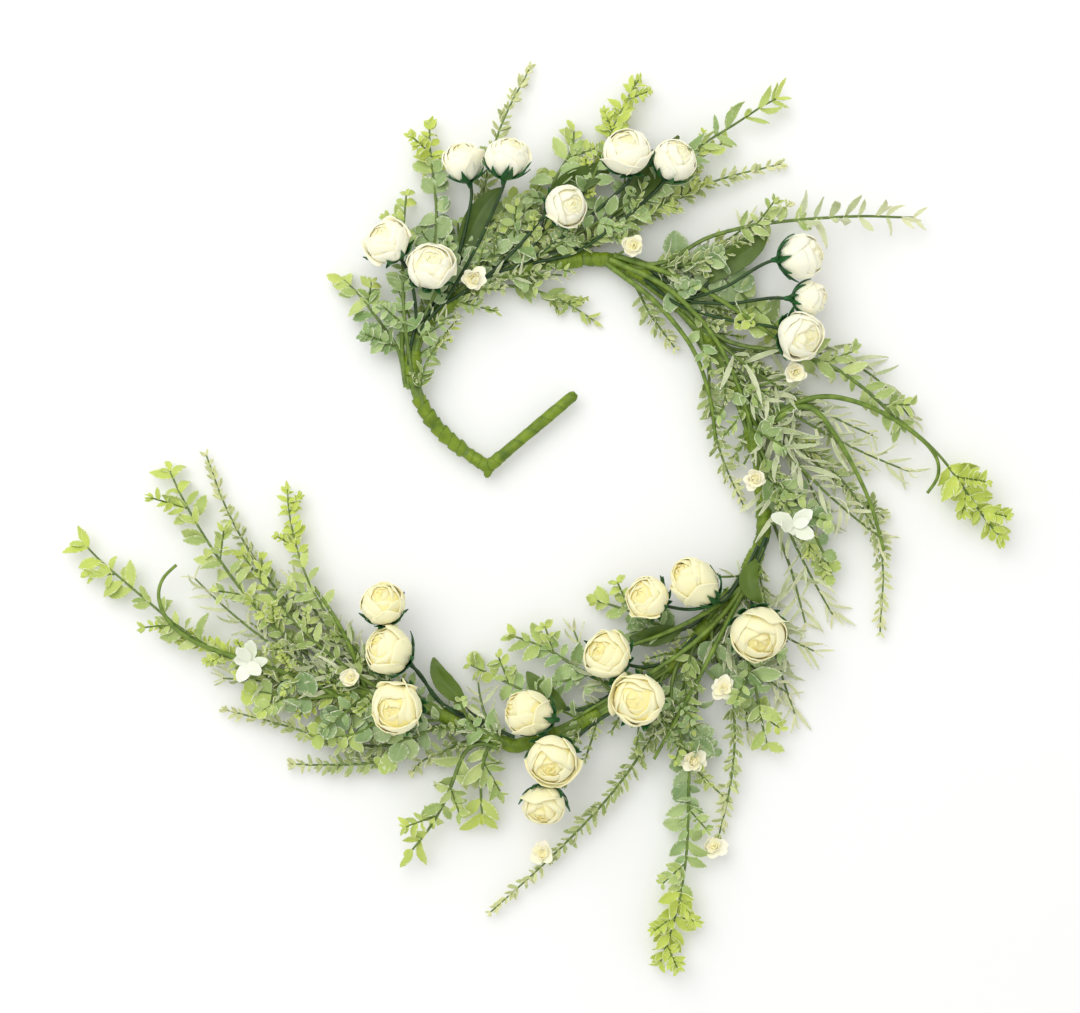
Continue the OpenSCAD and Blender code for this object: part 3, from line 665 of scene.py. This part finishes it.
dressNode("lower_eucalyptus", "lower", "eucalyptus", parts={
    3: [(0.25, 0.5, "round", 1.1), (0.54, 0.76, "eucalyptus", 1.0), (0.8, 1.0, "tuft", 1.15)],
    4: [(0.3, 1.0, "eucalyptus", 1.15)]})
dressNode("lower_willow", "lower", "willow")
dressNode("tail_heather", "tail", "heather")
dressNode("tail_long_branches", "tail", "branch", 6 * mm, {
    0: [(0.22, 0.5, "tuft", 1.0), (0.56, 0.74, "branch", 0.9), (0.8, 1.0, "branch", 1.0)],
    1: [(0.25, 0.48, "tuft", 1.0), (0.5, 0.78, "branch", 1.0), (0.82, 1.0, "branch", 0.9)],
    2: [(0.25, 0.45, "lacy", 1.2), (0.52, 0.72, "branch", 0.9), (0.75, 0.98, "tuft", 0.8)]})
dressNode("tail_low_sprays", "tail", "round", parts={4: [(0.35, 1.0, "branch", 1.1)]})
print("stage: sprays grown")

# short sprigs along the main stems, and longer ones that fill the fans between the sprays
sprigs = {"gap": {"upper": 9.5 * mm, "right": 11 * mm, "lower": 12 * mm, "tail": 14 * mm},
          "start": {"upper": (0.42, 0.36), "right": (0.10, 0.34), "lower": (0.08, 0.12), "tail": (0.05, 0.05)},
          "kinds": ["lacy", "heather", "lacy", "eucalyptus", "willow"], "kneeRoom": 16, "endRoom": 2,
          "long": 27 * mm, "innerShorter": 0.62, "lean": 38, "rise": 7 * mm, "sway": 2.5 * mm}
# each: where on the stem it begins, where it ends (mm), its look and size
fills = {
    "upper": [(0.22, -40, 96, "lacy", 0.9), (0.30, -66, 158, "eucalyptus", 0.9), (0.40, -8, 158, "round", 0.9),
              (0.52, 4, 168, "round", 1.0), (0.62, 44, 196, "tuft", 0.9), (0.66, 92, 184, "eucalyptus", 1.0),
              (0.72, 84, 164, "lacy", 1.2), (0.6, 12, 118, "willow", 0.6)],
    "right": [(0.02, 126, 154, "heather", 1.0), (0.03, 108, 146, "willow", 0.8), (0.04, 98, 134, "lacy", 1.2),
              (0.12, 92, 98, "round", 1.0), (0.28, 168, 38, "willow", 1.0), (0.36, 186, 20, "willow", 1.1),
              (0.42, 158, 8, "willow", 1.0), (0.50, 172, -14, "willow", 1.1), (0.62, 144, -30, "lacy", 1.1),
              (0.70, 148, -52, "willow", 1.1), (0.40, 138, 28, "lacy", 0.9)],
    "lower": [(0.12, 138, -70, "willow", 1.1), (0.20, 126, -92, "willow", 1.1), (0.26, 112, -98, "round", 1.0),
              (0.34, 78, -114, "lacy", 1.3), (0.40, 84, -136, "eucalyptus", 0.8),
              (0.46, 96, -146, "heather", 0.9), (0.60, 18, -60, "willow", 0.8)],
    "tail": [(0.02, -30, -86, "willow", 0.9), (0.04, -40, -97, "eucalyptus", 1.0),
             (0.05, -28, -152, "branch", 1.2), (0.35, -112, -52, "willow", 0.9), (0.45, -122, -34, "willow", 1.0),
             (0.50, -148, -22, "branch", 0.9), (0.60, -144, -56, "willow", 1.0), (0.68, -172, -34, "willow", 0.9),
             (0.74, -190, -58, "tuft", 0.9), (0.80, -158, -84, "willow", 1.0), (0.55, -134, -96, "tuft", 1.1),
             (0.40, -106, -106, "round", 1.2)]}
# bare stems that show above the leaves, as points (mm)
bareStems = {
    "upper": [[(-66, 62, 8), (-69, 84, 10), (-66, 104, 12)]],
    "right": [[(34, 124, 10), (58, 106, 14), (78, 82, 14), (87, 56, 12), (89, 34, 9)],
              [(36, 126, 12), (66, 112, 15), (90, 86, 15), (103, 56, 14), (110, 30, 11)],
              [(38, 128, 12), (74, 116, 15), (106, 96, 15), (130, 78, 13), (150, 70, 12)],
              [(118, 48, 12), (140, 60, 16), (168, 52, 16), (190, 38, 15), (202, 27, 13), (203, 15, 11),
               (195, 9, 9)],
              [(112, 40, 12), (134, 58, 17), (150, 36, 17), (166, 6, 15), (173, -20, 12)]],
    "lower": [[(112, -18, 12), (98, -46, 16), (76, -68, 17), (48, -86, 15), (18, -104, 11)],
              [(110, -26, 12), (94, -56, 17), (80, -84, 16), (58, -124, 13)],
              [(112, -30, 12), (86, -50, 17), (62, -62, 16), (38, -70, 12)]],
    "tail": [[(-98, -92, 10), (-140, -76, 14), (-168, -68, 15), (-184, -58, 15), (-192, -45, 14),
              (-190, -32, 12), (-181, -27, 10)],
             [(-84, -96, 10), (-92, -70, 15), (-102, -51, 15), (-112, -38, 12)],
             [(-82, -106, 9), (-106, -88, 13), (-132, -78, 14)]]}
for name in garlands:
    rand = seeded("sprigs" + name)
    line = lines[name]
    t, side, up = pathFrame(line)
    stock = Stock()
    total = len(line)
    last = total - (sprigs["kneeRoom"] if name in kneeAfter else sprigs["endRoom"])
    for hand in (1, -1):
        inner = hand < 0
        begin = sprigs["start"][name][1 if inner else 0]
        for spot in np.arange(int(total * begin), last, sprigs["gap"][name] / lineStep):
            k = int(spot + rand.uniform(0, 3))
            k = min(k, total - 2)
            kind = sprigs["kinds"][int(rand.integers(len(sprigs["kinds"])))]
            look = sprayLooks[kind]
            long = sprigs["long"] * rand.uniform(0.6, 1.3) * (sprigs["innerShorter"] if inner else 1.0)
            lean = math.radians(sprigs["lean"] * rand.uniform(0.6, 1.4))
            out = unit(math.cos(lean) * t[k] - hand * math.sin(lean) * side[k])
            s = np.linspace(0, 1, 9)[:, None]
            height = rand.uniform(-0.4, 1.0) * sprigs["rise"]
            path = line[k] + upWay * rand.uniform(-2, 5) * mm + out * s * long + upWay * height * np.sin(s * 1.9)
            path = path + side[k] * (s ** 2) * rand.normal() * sprigs["sway"]
            path[:, 2] = settle(path[:, 2], 1.0 * mm)
            growStem(stock, path, look["twig"] * 0.75, 5, paint=1)
            size = rand.uniform(0.55, 0.85) if kind != "willow" else 0.5
            leafOut(stock, path, look, rand, size, 0.12, 0.0, 0.75)
    for start, x, y, kind, size in fills[name]:
        k = int(start * (total - 1))
        foot = line[k] + upWay * rand.uniform(0, 3) * mm
        tip = np.array([x * mm, y * mm, rand.uniform(3, 11) * mm])
        reachOut = np.linalg.norm(tip - foot)
        bow = foot + t[k] * reachOut * 0.45  # it leaves along the stem and then bends away
        s = np.linspace(0, 1, 24)[:, None]
        path = (1 - s) ** 2 * foot + 2 * s * (1 - s) * bow + s ** 2 * tip
        path[:, 2] = settle(path[:, 2] + (4 * mm * np.sin(math.pi * s[:, 0])), 1.0 * mm)
        path = smoothPath(path, 1, 3 * mm)
        growSpray(stock, path, [(0.3, 1.0, kind, size)], rand, 0.9)
    for bare in bareStems[name]:
        path = smoothPath(np.array(bare, float) * mm, 1, 10 * mm)
        path = smoothPath(path, 6, 2 * mm)
        growStem(stock, path, np.linspace(1.5, 0.8, len(path)) * mm, 8, paint=7)
    piece = makePiece(name + "SpineSprigs", stock, foliage)
    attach(piece, name + "_garland")
    print("sprigs", name, stock.count)
print("stage: sprigs grown")

# roses
# petals from the heart out: widths and latitudes in degrees, the rest as shares of the bud
petalLayers = [
    {"size": 0.20, "count": 3, "wide": 78, "low": -10, "top": 76, "tall": 0.90, "tuck": 0.05, "flare": 0.00},
    {"size": 0.40, "count": 3, "wide": 76, "low": -20, "top": 72, "tall": 0.94, "tuck": 0.05, "flare": 0.00},
    {"size": 0.60, "count": 3, "wide": 76, "low": -40, "top": 67, "tall": 0.96, "tuck": 0.04, "flare": 0.02},
    {"size": 0.77, "count": 3, "wide": 76, "low": -60, "top": 62, "tall": 0.98, "tuck": 0.03, "flare": 0.04},
    {"size": 0.88, "count": 4, "wide": 66, "low": -86, "top": 54, "tall": 1.00, "tuck": 0.025, "flare": 0.10},
    {"size": 0.97, "count": 5, "wide": 52, "low": -89, "top": 36, "tall": 1.00, "tuck": 0.02, "flare": 0.14},
]
petalLook = {"rows": 12, "cols": 11, "thick": 0.5 * mm, "turn": 47, "looseFrom": 0.04}
calyxLook = {"rows": 9, "cols": 5, "thick": 0.5 * mm, "sepals": 12, "wide": 12.5}


def onBud(rose, r, z, az):  # points round a bud's axis
    local = (r * np.cos(az))[..., None] * rose["x"] + (r * np.sin(az))[..., None] * rose["y"]
    return rose["middle"] + local + z[..., None] * rose["axis"]


def growPetals(stock, rose, rand):
    v = np.linspace(0, 1, petalLook["rows"])[:, None]
    u = np.linspace(-1, 1, petalLook["cols"])[None, :]
    turned = rand.uniform(0, 360)
    for layer in petalLayers:
        sheets, datas = [], []
        loose = layer["flare"] > petalLook["looseFrom"]
        turned += petalLook["turn"] + rand.uniform(-12, 12)
        for j in range(layer["count"]):
            azimuth = math.radians(turned + 360 * j / layer["count"] + rand.uniform(-7, 7))
            top = layer["top"] + rand.uniform(-14, 9) - 34 * np.abs(u) ** 2.2
            top = top + 3 * np.sin(5 * u + rand.uniform(0, 6))
            lat = np.radians(layer["low"] + v * (top - layer["low"]))
            az = azimuth + u * math.radians(layer["wide"] * rand.uniform(0.9, 1.08)) * np.clip(0.55 + v, 0, 1)
            ripple = (0.03 * np.sin(4.2 * u + rand.uniform(0, anyPhase)) + 0.012 * np.sin(11 * u)) * v ** 2
            lump = 0.04 * layer["size"] * np.sin(2.7 * u + rand.uniform(0, anyPhase)) * np.sin(math.pi * v)
            size = layer["size"] + layer["tuck"] * u * v + ripple + lump
            size = size + 0.022 * rand.normal() * np.sin(math.pi * v)
            size = size + layer["flare"] * rand.uniform(0.0, 1.3) ** 2 * np.clip((v - 0.7) / 0.3, 0, 1) ** 2
            r = rose["r"] * size * np.cos(lat)
            z = rose["half"] * layer["tall"] * np.sin(lat) * (0.93 + 0.07 * layer["size"])
            z = z + rose["half"] * 0.06 * rand.normal() * v ** 4 * loose
            z = z - rose["half"] * 0.05 * np.clip((v - 0.86) / 0.14, 0, 1) ** 2 * loose
            sheets.append(onBud(rose, r, z, az))
            # deeper layers take the heart colour: partly the bud's own warmer centre, partly painted shade inside
            # the bud
            deep = np.clip(1 - layer["size"] + 0.05 * rand.normal(), 0, 1)
            datas.append(np.stack(np.broadcast_arrays(np.abs(u), v, rand.uniform(), deep), -1))
        addShells(stock, np.array(sheets), petalLook["thick"], np.array(datas), 0)
    lat = np.radians(np.linspace(-86, 89, 16))  # the wad that the petals are wound on
    wad = rose["middle"] + rose["axis"] * (rose["half"] * 0.78 * np.sin(lat))[:, None]
    # reach 0.75 gives the wad the heart colour, which is partly painted shade
    growStem(stock, wad, rose["r"] * 0.9 * np.cos(lat) + 0.1 * mm, 20, reach=0.75)


def growCalyx(stock, rose, rand):
    # a small cup, a neck and long pointed sepals that lie up the sides of the bud
    v = np.linspace(0, 1, calyxLook["rows"])[:, None]
    u = np.linspace(-1, 1, calyxLook["cols"])[None, :]
    sheets, datas = [], []
    many = calyxLook["sepals"]
    for j in range(many):
        azimuth = 2 * math.pi * (j + rand.uniform(-0.25, 0.25)) / many
        top = rand.uniform(-32, 4)
        lat = np.radians(-88 + v * (top + 88))
        wide = math.radians(calyxLook["wide"]) * np.interp(v, [0, 0.35, 0.7, 1], [2.2, 1.2, 0.62, 0.05])
        az = azimuth + u * wide + 0.14 * rand.normal() * v
        grow = 1.05 + 0.02 * (j % 2) + rand.uniform(0.02, 0.2) * v ** 3
        r = rose["r"] * grow * np.cos(lat)
        z = rose["half"] * (grow + 0.02) * np.sin(lat) - rose["half"] * 0.06 * (1 - v)
        sheets.append(onBud(rose, r, z, az))
        datas.append(np.stack(np.broadcast_arrays(np.abs(u), v, rand.uniform(), 0.0), -1))
    addShells(stock, np.array(sheets), calyxLook["thick"], np.array(datas), 0)
    foot = rose["middle"] - rose["axis"] * (rose["half"] + 4.8 * mm)
    s = np.linspace(0, 1, 11)
    neck = foot + rose["axis"] * s[:, None] * 7.0 * mm
    growStem(stock, neck, np.interp(s, [0, 0.3, 0.6, 0.85, 1], [1.1, 1.5, 2.8, 4.6, 5.4]) * mm, 14)


def readRoses(pick):
    # each bud's middle, axis and size from its solid and from the calyx that is nearest to it
    headPoints, headLinks = nodeMesh(f"rose_pick_{pick}_heads")
    cupPoints, cupLinks = nodeMesh(f"rose_pick_{pick}_calyxes")
    cups = [cupPoints[g].mean(0) for g in islands(cupLinks)]
    roses = []
    for group in islands(headLinks):
        p = headPoints[group]
        c = (p.min(0) + p.max(0)) / 2
        cup = cups[int(np.argmin([np.linalg.norm(q - c) for q in cups]))]
        axis = unit(p.mean(0) - cup)
        for _ in range(3):  # the axis is the line that the bud is round about
            along = (p - c) @ axis
            flat = p - c - along[:, None] * axis
            c = c + flat[np.abs(along) < 6 * mm].mean(0) * 0.5
            axis = unit(c - cup)
        along = (p - c) @ axis
        half = (along.max() - along.min()) / 1.93
        middle = c + axis * (along.min() + half)
        r = np.linalg.norm(p - middle - ((p - middle) @ axis)[:, None] * axis, axis=1).max()
        x = unit(np.cross(axis, [0.3, 0.2, 1.0]))
        roses.append({"middle": middle, "axis": axis, "half": half, "r": r, "x": x, "y": np.cross(axis, x)})
    return roses


def growBlade(stock, path, rand):  # a broad leaf along a path
    side = pathFrame(path)[1]
    long = np.linalg.norm(np.diff(path, axis=0), axis=1).sum()
    half = float(np.clip(0.16 * long, 5 * mm, 6.6 * mm))
    v = np.linspace(0, 1, 15)
    u = np.linspace(-1, 1, 9)
    spots, marks = v * (len(path) - 1), np.arange(len(path))
    middle = np.stack([np.interp(spots, marks, path[:, q]) for q in range(3)], 1)
    across = unit(np.stack([np.interp(spots, marks, side[:, q]) for q in range(3)], 1))
    w = half * np.interp(v, broad["outlineAt"], broad["outline"])[:, None] * u[None]
    sheet = middle[:, None] + w[..., None] * across[:, None]
    bulge = 0.32 * np.abs(w) + 0.5 * mm * np.sin(9 * v[:, None] + 2 * u[None])
    sheet[..., 2] += bulge + 1.5 * mm * np.sin(math.pi * v)[:, None]
    data = np.stack(np.broadcast_arrays(np.abs(u)[None], v[:, None], rand.uniform(), 0.2), -1)
    addShells(stock, sheet[None], 0.5 * mm, data[None], 0)


picks = {1: "upper", 2: "upper", 3: "upper", 4: "right", 5: "lower", 6: "lower", 7: "lower", 8: "tail"}
for pick, name in picks.items():
    rand = seeded(f"pick{pick}")
    roses = readRoses(pick)
    heads, cups, stalks = Stock(), Stock(), Stock()
    for rose in roses:
        growPetals(heads, rose, rand)
        growCalyx(cups, rose, rand)
    warm = warmPetalPaint if pick >= 5 else petalPaint
    nodes = f"rose_pick_{pick}_"
    petals = makePiece(f"rosePick{pick}Petals", heads, [warm], [nodes + "heads"], 130)
    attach(petals, name + "_garland")
    calyxes = makePiece(f"rosePick{pick}Calyxes", cups, [calyxPaint], [nodes + "calyxes"])
    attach(calyxes, name + "_garland")
    feet = np.array([r["middle"] - r["axis"] * (r["half"] + 4 * mm) for r in roses])
    for way in traceRoutes(nodes + "stems", name, 12 * mm, 16 * mm):
        near = np.linalg.norm(feet - way[-1], axis=1)
        foot = feet[near.argmin()]
        path = smoothPath(hugged(way, name, 26 * mm), 5, 3 * mm)
        if near.min() < 8 * mm:  # a rose's own stem
            s = np.linspace(0, 1, len(path))[:, None] ** 3
            path = path + (foot + unit(foot - path[-1]) * 0.5 * mm - path[-1]) * s
            growStem(stalks, path, 0.85 * mm, 8, paint=1)
        else:  # a broad leaf on its stalk
            cut = int(len(path) * (0.3 if pick == 5 else 0.48))
            growStem(stalks, path[:cut + 1], 0.9 * mm, 6, paint=1)
            growBlade(stalks, path[cut:], rand)
    paints = [darkLeafPaint, roseStemPaint]
    stems = makePiece(f"rosePick{pick}Stems", stalks, paints, [nodes + "stems"])
    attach(stems, name + "_garland")
    print("roses", pick, [[round(float(q) * 1000, 1) for q in [*r["middle"], r["r"]]] for r in roses])
print("stage: roses wound")


# small filler flowers and the two pale leaf clusters
smallFlower = {"petals": [7, 6, 5], "long": [1.0, 0.78, 0.5], "least": 0.85, "wide": 0.85, "paint": 0,
               "stamens": 10}
leafCluster = {"petals": [4, 2], "long": [1.15, 1.15], "least": 0.7, "wide": 0.62, "paint": 2, "stamens": 0}
moreFlowers = {"right": [(128, 69, 19)], "lower": [(92, -88, 19), (88, -168, 8), (2, -171, 7)]}  # mm
for name in garlands:
    node = name + "_filler_flowers"
    rand = seeded(node)
    stock = Stock()
    points, links = nodeMesh(node)
    flowers = [(np.array(place, float) * mm, 6.2 * mm) for place in moreFlowers.get(name, [])]
    for group in islands(links):
        p = points[group]
        tip = p[nearest(p, lines[name])[0].argmax()]
        for _ in range(4):  # the flower's middle, from its petals
            near = p[np.linalg.norm(p - tip, axis=1) < 12 * mm]
            tip = tip * 0.5 + near.mean(0) * 0.5
        away = np.linalg.norm(p - tip, axis=1)
        flowers.append((tip, np.percentile(away[away < 13 * mm], 92)))
    for tip, size in flowers:
        root = lines[name][int(nearest(tip[None], lines[name])[1][0])]
        if np.linalg.norm(tip - root) < 50 * mm:  # those further out sit on the tip of a spray
            s = np.linspace(0, 1, 12)[:, None]
            stalk = root + (tip - root) * s + upWay * 3 * mm * np.sin(s * math.pi)
            growStem(stock, stalk, 0.6 * mm, 6, paint=1)
        look = leafCluster if size > 7.5 * mm else smallFlower
        for ring, many in enumerate(look["petals"]):
            a = np.arange(many) * 2 * math.pi / many + rand.uniform(0, 6) + ring * 0.5
            rise = [0.15, 0.6, 1.3][ring]
            way = np.stack([np.cos(a), np.sin(a), np.full(many, rise)], 1) + 0.12 * rand.normal(size=(many, 3))
            face = np.stack([-np.cos(a) * rise, -np.sin(a) * rise, np.ones(many)], 1)
            long = size * look["long"][ring] * rand.uniform(look["least"], 1.2, many)
            if look is leafCluster:
                rand.normal(size=many)  # keeps the later draws in step
            base = np.repeat(tip[None], many, 0) + upWay * (1 + 0.6 * ring) * mm
            growLeaves(stock, base, way, face, long, long * look["wide"], dict(roundish, curl=0.5), rand,
                       0.1 + 0.3 * ring, paint=look["paint"])
        for _ in range(look["stamens"]):
            spot = tip + rand.normal(size=3) * 0.7 * mm + upWay * 2.2 * mm
            stamen = np.array([spot, spot + upWay * 0.5 * mm, spot + upWay * 1.0 * mm])
            growStem(stock, stamen, [0.3 * mm, 0.5 * mm, 0.3 * mm], 6)
    paints = [flowerPaint, twigPaint, whiteLeafPaint]
    piece = makePiece(name + "FillerFlowers", stock, paints, [node])
    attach(piece, name + "_garland")
print("stage: flowers set")

# main stems, tape and the hook
wrapLow, wrapHigh = [np.array(corner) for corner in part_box("hook_wrap")]
stemLook = {"radius": 2.9 * mm, "strand": 1.35 * mm, "strands": 4, "trim": 5 * mm}
for name in garlands:
    rand = seeded("stem" + name)
    line = lines[name]
    inside = (np.linalg.norm(line - kneeBefore[name], axis=1) > stemLook["trim"])
    if name in kneeAfter:
        inside &= np.linalg.norm(line - kneeAfter[name], axis=1) > stemLook["trim"]
    path = smoothPath(line[inside], 1, 1.2 * mm)
    stock = Stock()
    wobble = 1 + 0.03 * np.sin(np.linspace(0, 14, len(path))) + 0.02 * rand.normal(size=len(path))
    growStem(stock, path, stemLook["radius"] * wobble, 20)
    side, up = pathFrame(path)[1:]
    inWrap = ((path > wrapLow) & (path < wrapHigh)).all(1)
    begin = int(np.where(inWrap)[0].max()) + 1 if inWrap.any() else 2
    s = np.linspace(0, 1, len(path))
    for _ in range(stemLook["strands"]):  # the thinner stems that are bound along it
        a = rand.uniform(-0.3, 3.4) + 0.9 * np.sin(s * rand.uniform(4, 9) + rand.uniform(0, 6))
        out = stemLook["radius"] + 0.1 * mm + 0.5 * mm * np.sin(s * rand.uniform(9, 15))
        bound = path + (out * np.cos(a))[:, None] * side + (out * np.sin(a))[:, None] * up
        bound[:, 2] = np.maximum(bound[:, 2], 2.6 * mm)
        growStem(stock, bound[begin:-2], stemLook["strand"] * rand.uniform(0.7, 1.05), 10)
    mainStem = makePiece(name + "MainStem", stock, [stemPaint], [name + "_main_stem"])
    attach(mainStem, name + "_garland")

    bands = Stock()
    bandPoints, bandLinks = nodeMesh(name + "_tape_bands")
    for group in islands(bandLinks):
        middle = bandPoints[group].mean(0)
        k = int(nearest(middle[None], line)[1][0])
        a, b = max(0, k - 3), min(len(line) - 1, k + 3)
        wound = smoothPath(line[a:b + 1] + (middle - line[k]) * 0.6, 1, 0.55 * mm)
        s = np.linspace(0, 1, len(wound))
        swell = 3.7 * mm + 0.5 * mm * np.sin(math.pi * s) ** 0.6
        growStem(bands, wound, swell, 28, ridge=0.4 * mm, pitch=2.6 * mm)
    tapeBands = makePiece(name + "TapeBands", bands, [tapePaint], [name + "_tape_bands"])
    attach(tapeBands, name + "_garland")

legMount = [m for m in frame["record"]["mounts"] if m["name"] == "hook_leg"][0]
legWay = unit(np.array(legMount["axis"], float))
knee = knees["hook"]
legPoints = nodeMesh("hook_leg")[0]
legEnd = knee + legWay * ((legPoints - knee) @ legWay).max()
legPath = evenPath([knee + legWay * 5 * mm, legEnd - legWay * 0.6 * mm], 0.8 * mm)
s = np.linspace(0, 1, len(legPath))
legRadius = 2.85 * mm * (1 - 0.05 * np.sin(5 * s) ** 2) * np.sqrt(np.clip((1.012 - s) / 0.05, 0.12, 1))
leg = Stock()
growStem(leg, legPath, legRadius, 24, ridge=0.2 * mm, pitch=9 * mm)
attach(makePiece("hookLeg", leg, [tapePaint], ["hook_leg"]), "hook")

line = lines["upper"]
wrapped = [q for q in line if (q[:2] > wrapLow[:2] + 3 * mm).all() and (q[:2] < wrapHigh[:2] - 3 * mm).all()]
wrapPath = smoothPath(np.array(wrapped), 1, 0.35 * mm)
wrap = Stock()
s = np.linspace(0, 1, len(wrapPath))
thickness = (3.1 + 0.2 * np.sin(21 * s) - 0.4 * np.abs(2 * s - 1) ** 6) * mm
growStem(wrap, wrapPath, thickness, 28, ridge=1.2 * mm, pitch=5.6 * mm)
# the folded end of the tape
tab = knee + np.array([[0.3, -1.0, 0], [-0.2, -2.6, 0.4], [-0.5, -4.2, 0.2], [-0.6, -5.2, 0]]) * mm
growStem(wrap, tab, np.array([2.4, 2.2, 1.7, 0.9]) * mm, 12)
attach(makePiece("hookWrap", wrap, [tapePaint], ["hook_wrap"]), "upper_garland")

# bends that cross the joints
bends = {"hook_bend": ("upper_garland", "hook", lines["upper"][:7][::-1], knee + legWay * 9 * mm),
         "right_bend": ("upper_garland", "right_garland", lines["upper"][-7:], lines["right"][4]),
         "lower_bend": ("right_garland", "lower_garland", lines["right"][-7:], lines["lower"][4]),
         "tail_bend": ("lower_garland", "tail_garland", lines["lower"][-7:], lines["tail"][4])}
for node, (bodyA, bodyB, lead, after) in bends.items():
    middle = knees[bodyB]
    bendPath = smoothPath(np.concatenate([lead[:-1], [middle, after]]), 5, 0.7 * mm)
    stock = Stock()
    fat = 3.4 * mm if node != "hook_bend" else 3.1 * mm
    s = np.linspace(0, 1, len(bendPath))
    growStem(stock, bendPath, fat * (0.93 + 0.07 * np.sin(math.pi * s)), 24, ridge=0.5 * mm, pitch=4.5 * mm)
    piece = makePiece(node.split("_")[0] + "BendSleeve", stock, [tapePaint], [node])
    a = middle + unit(lead[0] - middle) * 5 * mm
    b = middle + unit(after - middle) * 5 * mm
    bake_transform(piece)

for node in [n for n in frame["nodes"] if n.endswith("core_wire")]:
    shape = frame["nodes"][node]
    for place in shape.material_slots:
        place.material = wirePaint
print("stage: stems and tape")

# table, light and camera
studio = {"tableSize": 6.0, "worldStrength": 0.82, "keyPower": 15, "keySize": 1.6, "cameraHeight": 1.6,
          "viewWidth": 0.54, "middle": (0.001, 0.00225), "objectHeight": 0.012}
side = studio["tableSize"] / 2
tableMesh = bpy.data.meshes.new("table")
tableMesh.from_pydata([(-side, -side, 0), (side, -side, 0), (side, side, 0), (-side, side, 0)], [], [(0, 1, 2, 3)])
table = bpy.data.objects.new("table", tableMesh)
bpy.context.scene.collection.objects.link(table)
tableRecipe = Recipe("tablePaper")
paper = tableRecipe.mix(tableRecipe.noise(3), paint(250, 250, 249), paint(244, 244, 243))
tableMesh.materials.append(tableRecipe.finish(paper, 0.7))

world = bpy.data.worlds.new("softRoom")
bpy.context.scene.world = world
world.use_nodes = True
world.node_tree.nodes["Background"].inputs["Color"].default_value = (1, 1, 1, 1)
world.node_tree.nodes["Background"].inputs["Strength"].default_value = studio["worldStrength"]
key = bpy.data.lights.new("key", "AREA")
key.energy, key.size = studio["keyPower"], studio["keySize"]
keyLamp = bpy.data.objects.new("key", key)
keyLamp.location = (-0.55, 0.75, 1.5)
keyLamp.rotation_euler = (math.radians(-25), math.radians(-19), 0)
bpy.context.scene.collection.objects.link(keyLamp)

camera = bpy.data.cameras.new("camera")
camera.sensor_width = 36
camera.lens = 36 * (studio["cameraHeight"] - studio["objectHeight"]) / studio["viewWidth"]
eye = bpy.data.objects.new("camera", camera)
eye.location = (*studio["middle"], studio["cameraHeight"])
bpy.context.scene.collection.objects.link(eye)
bpy.context.scene.camera = eye
bpy.context.scene.view_settings.view_transform = "Standard"
print("stage: table, light and camera")
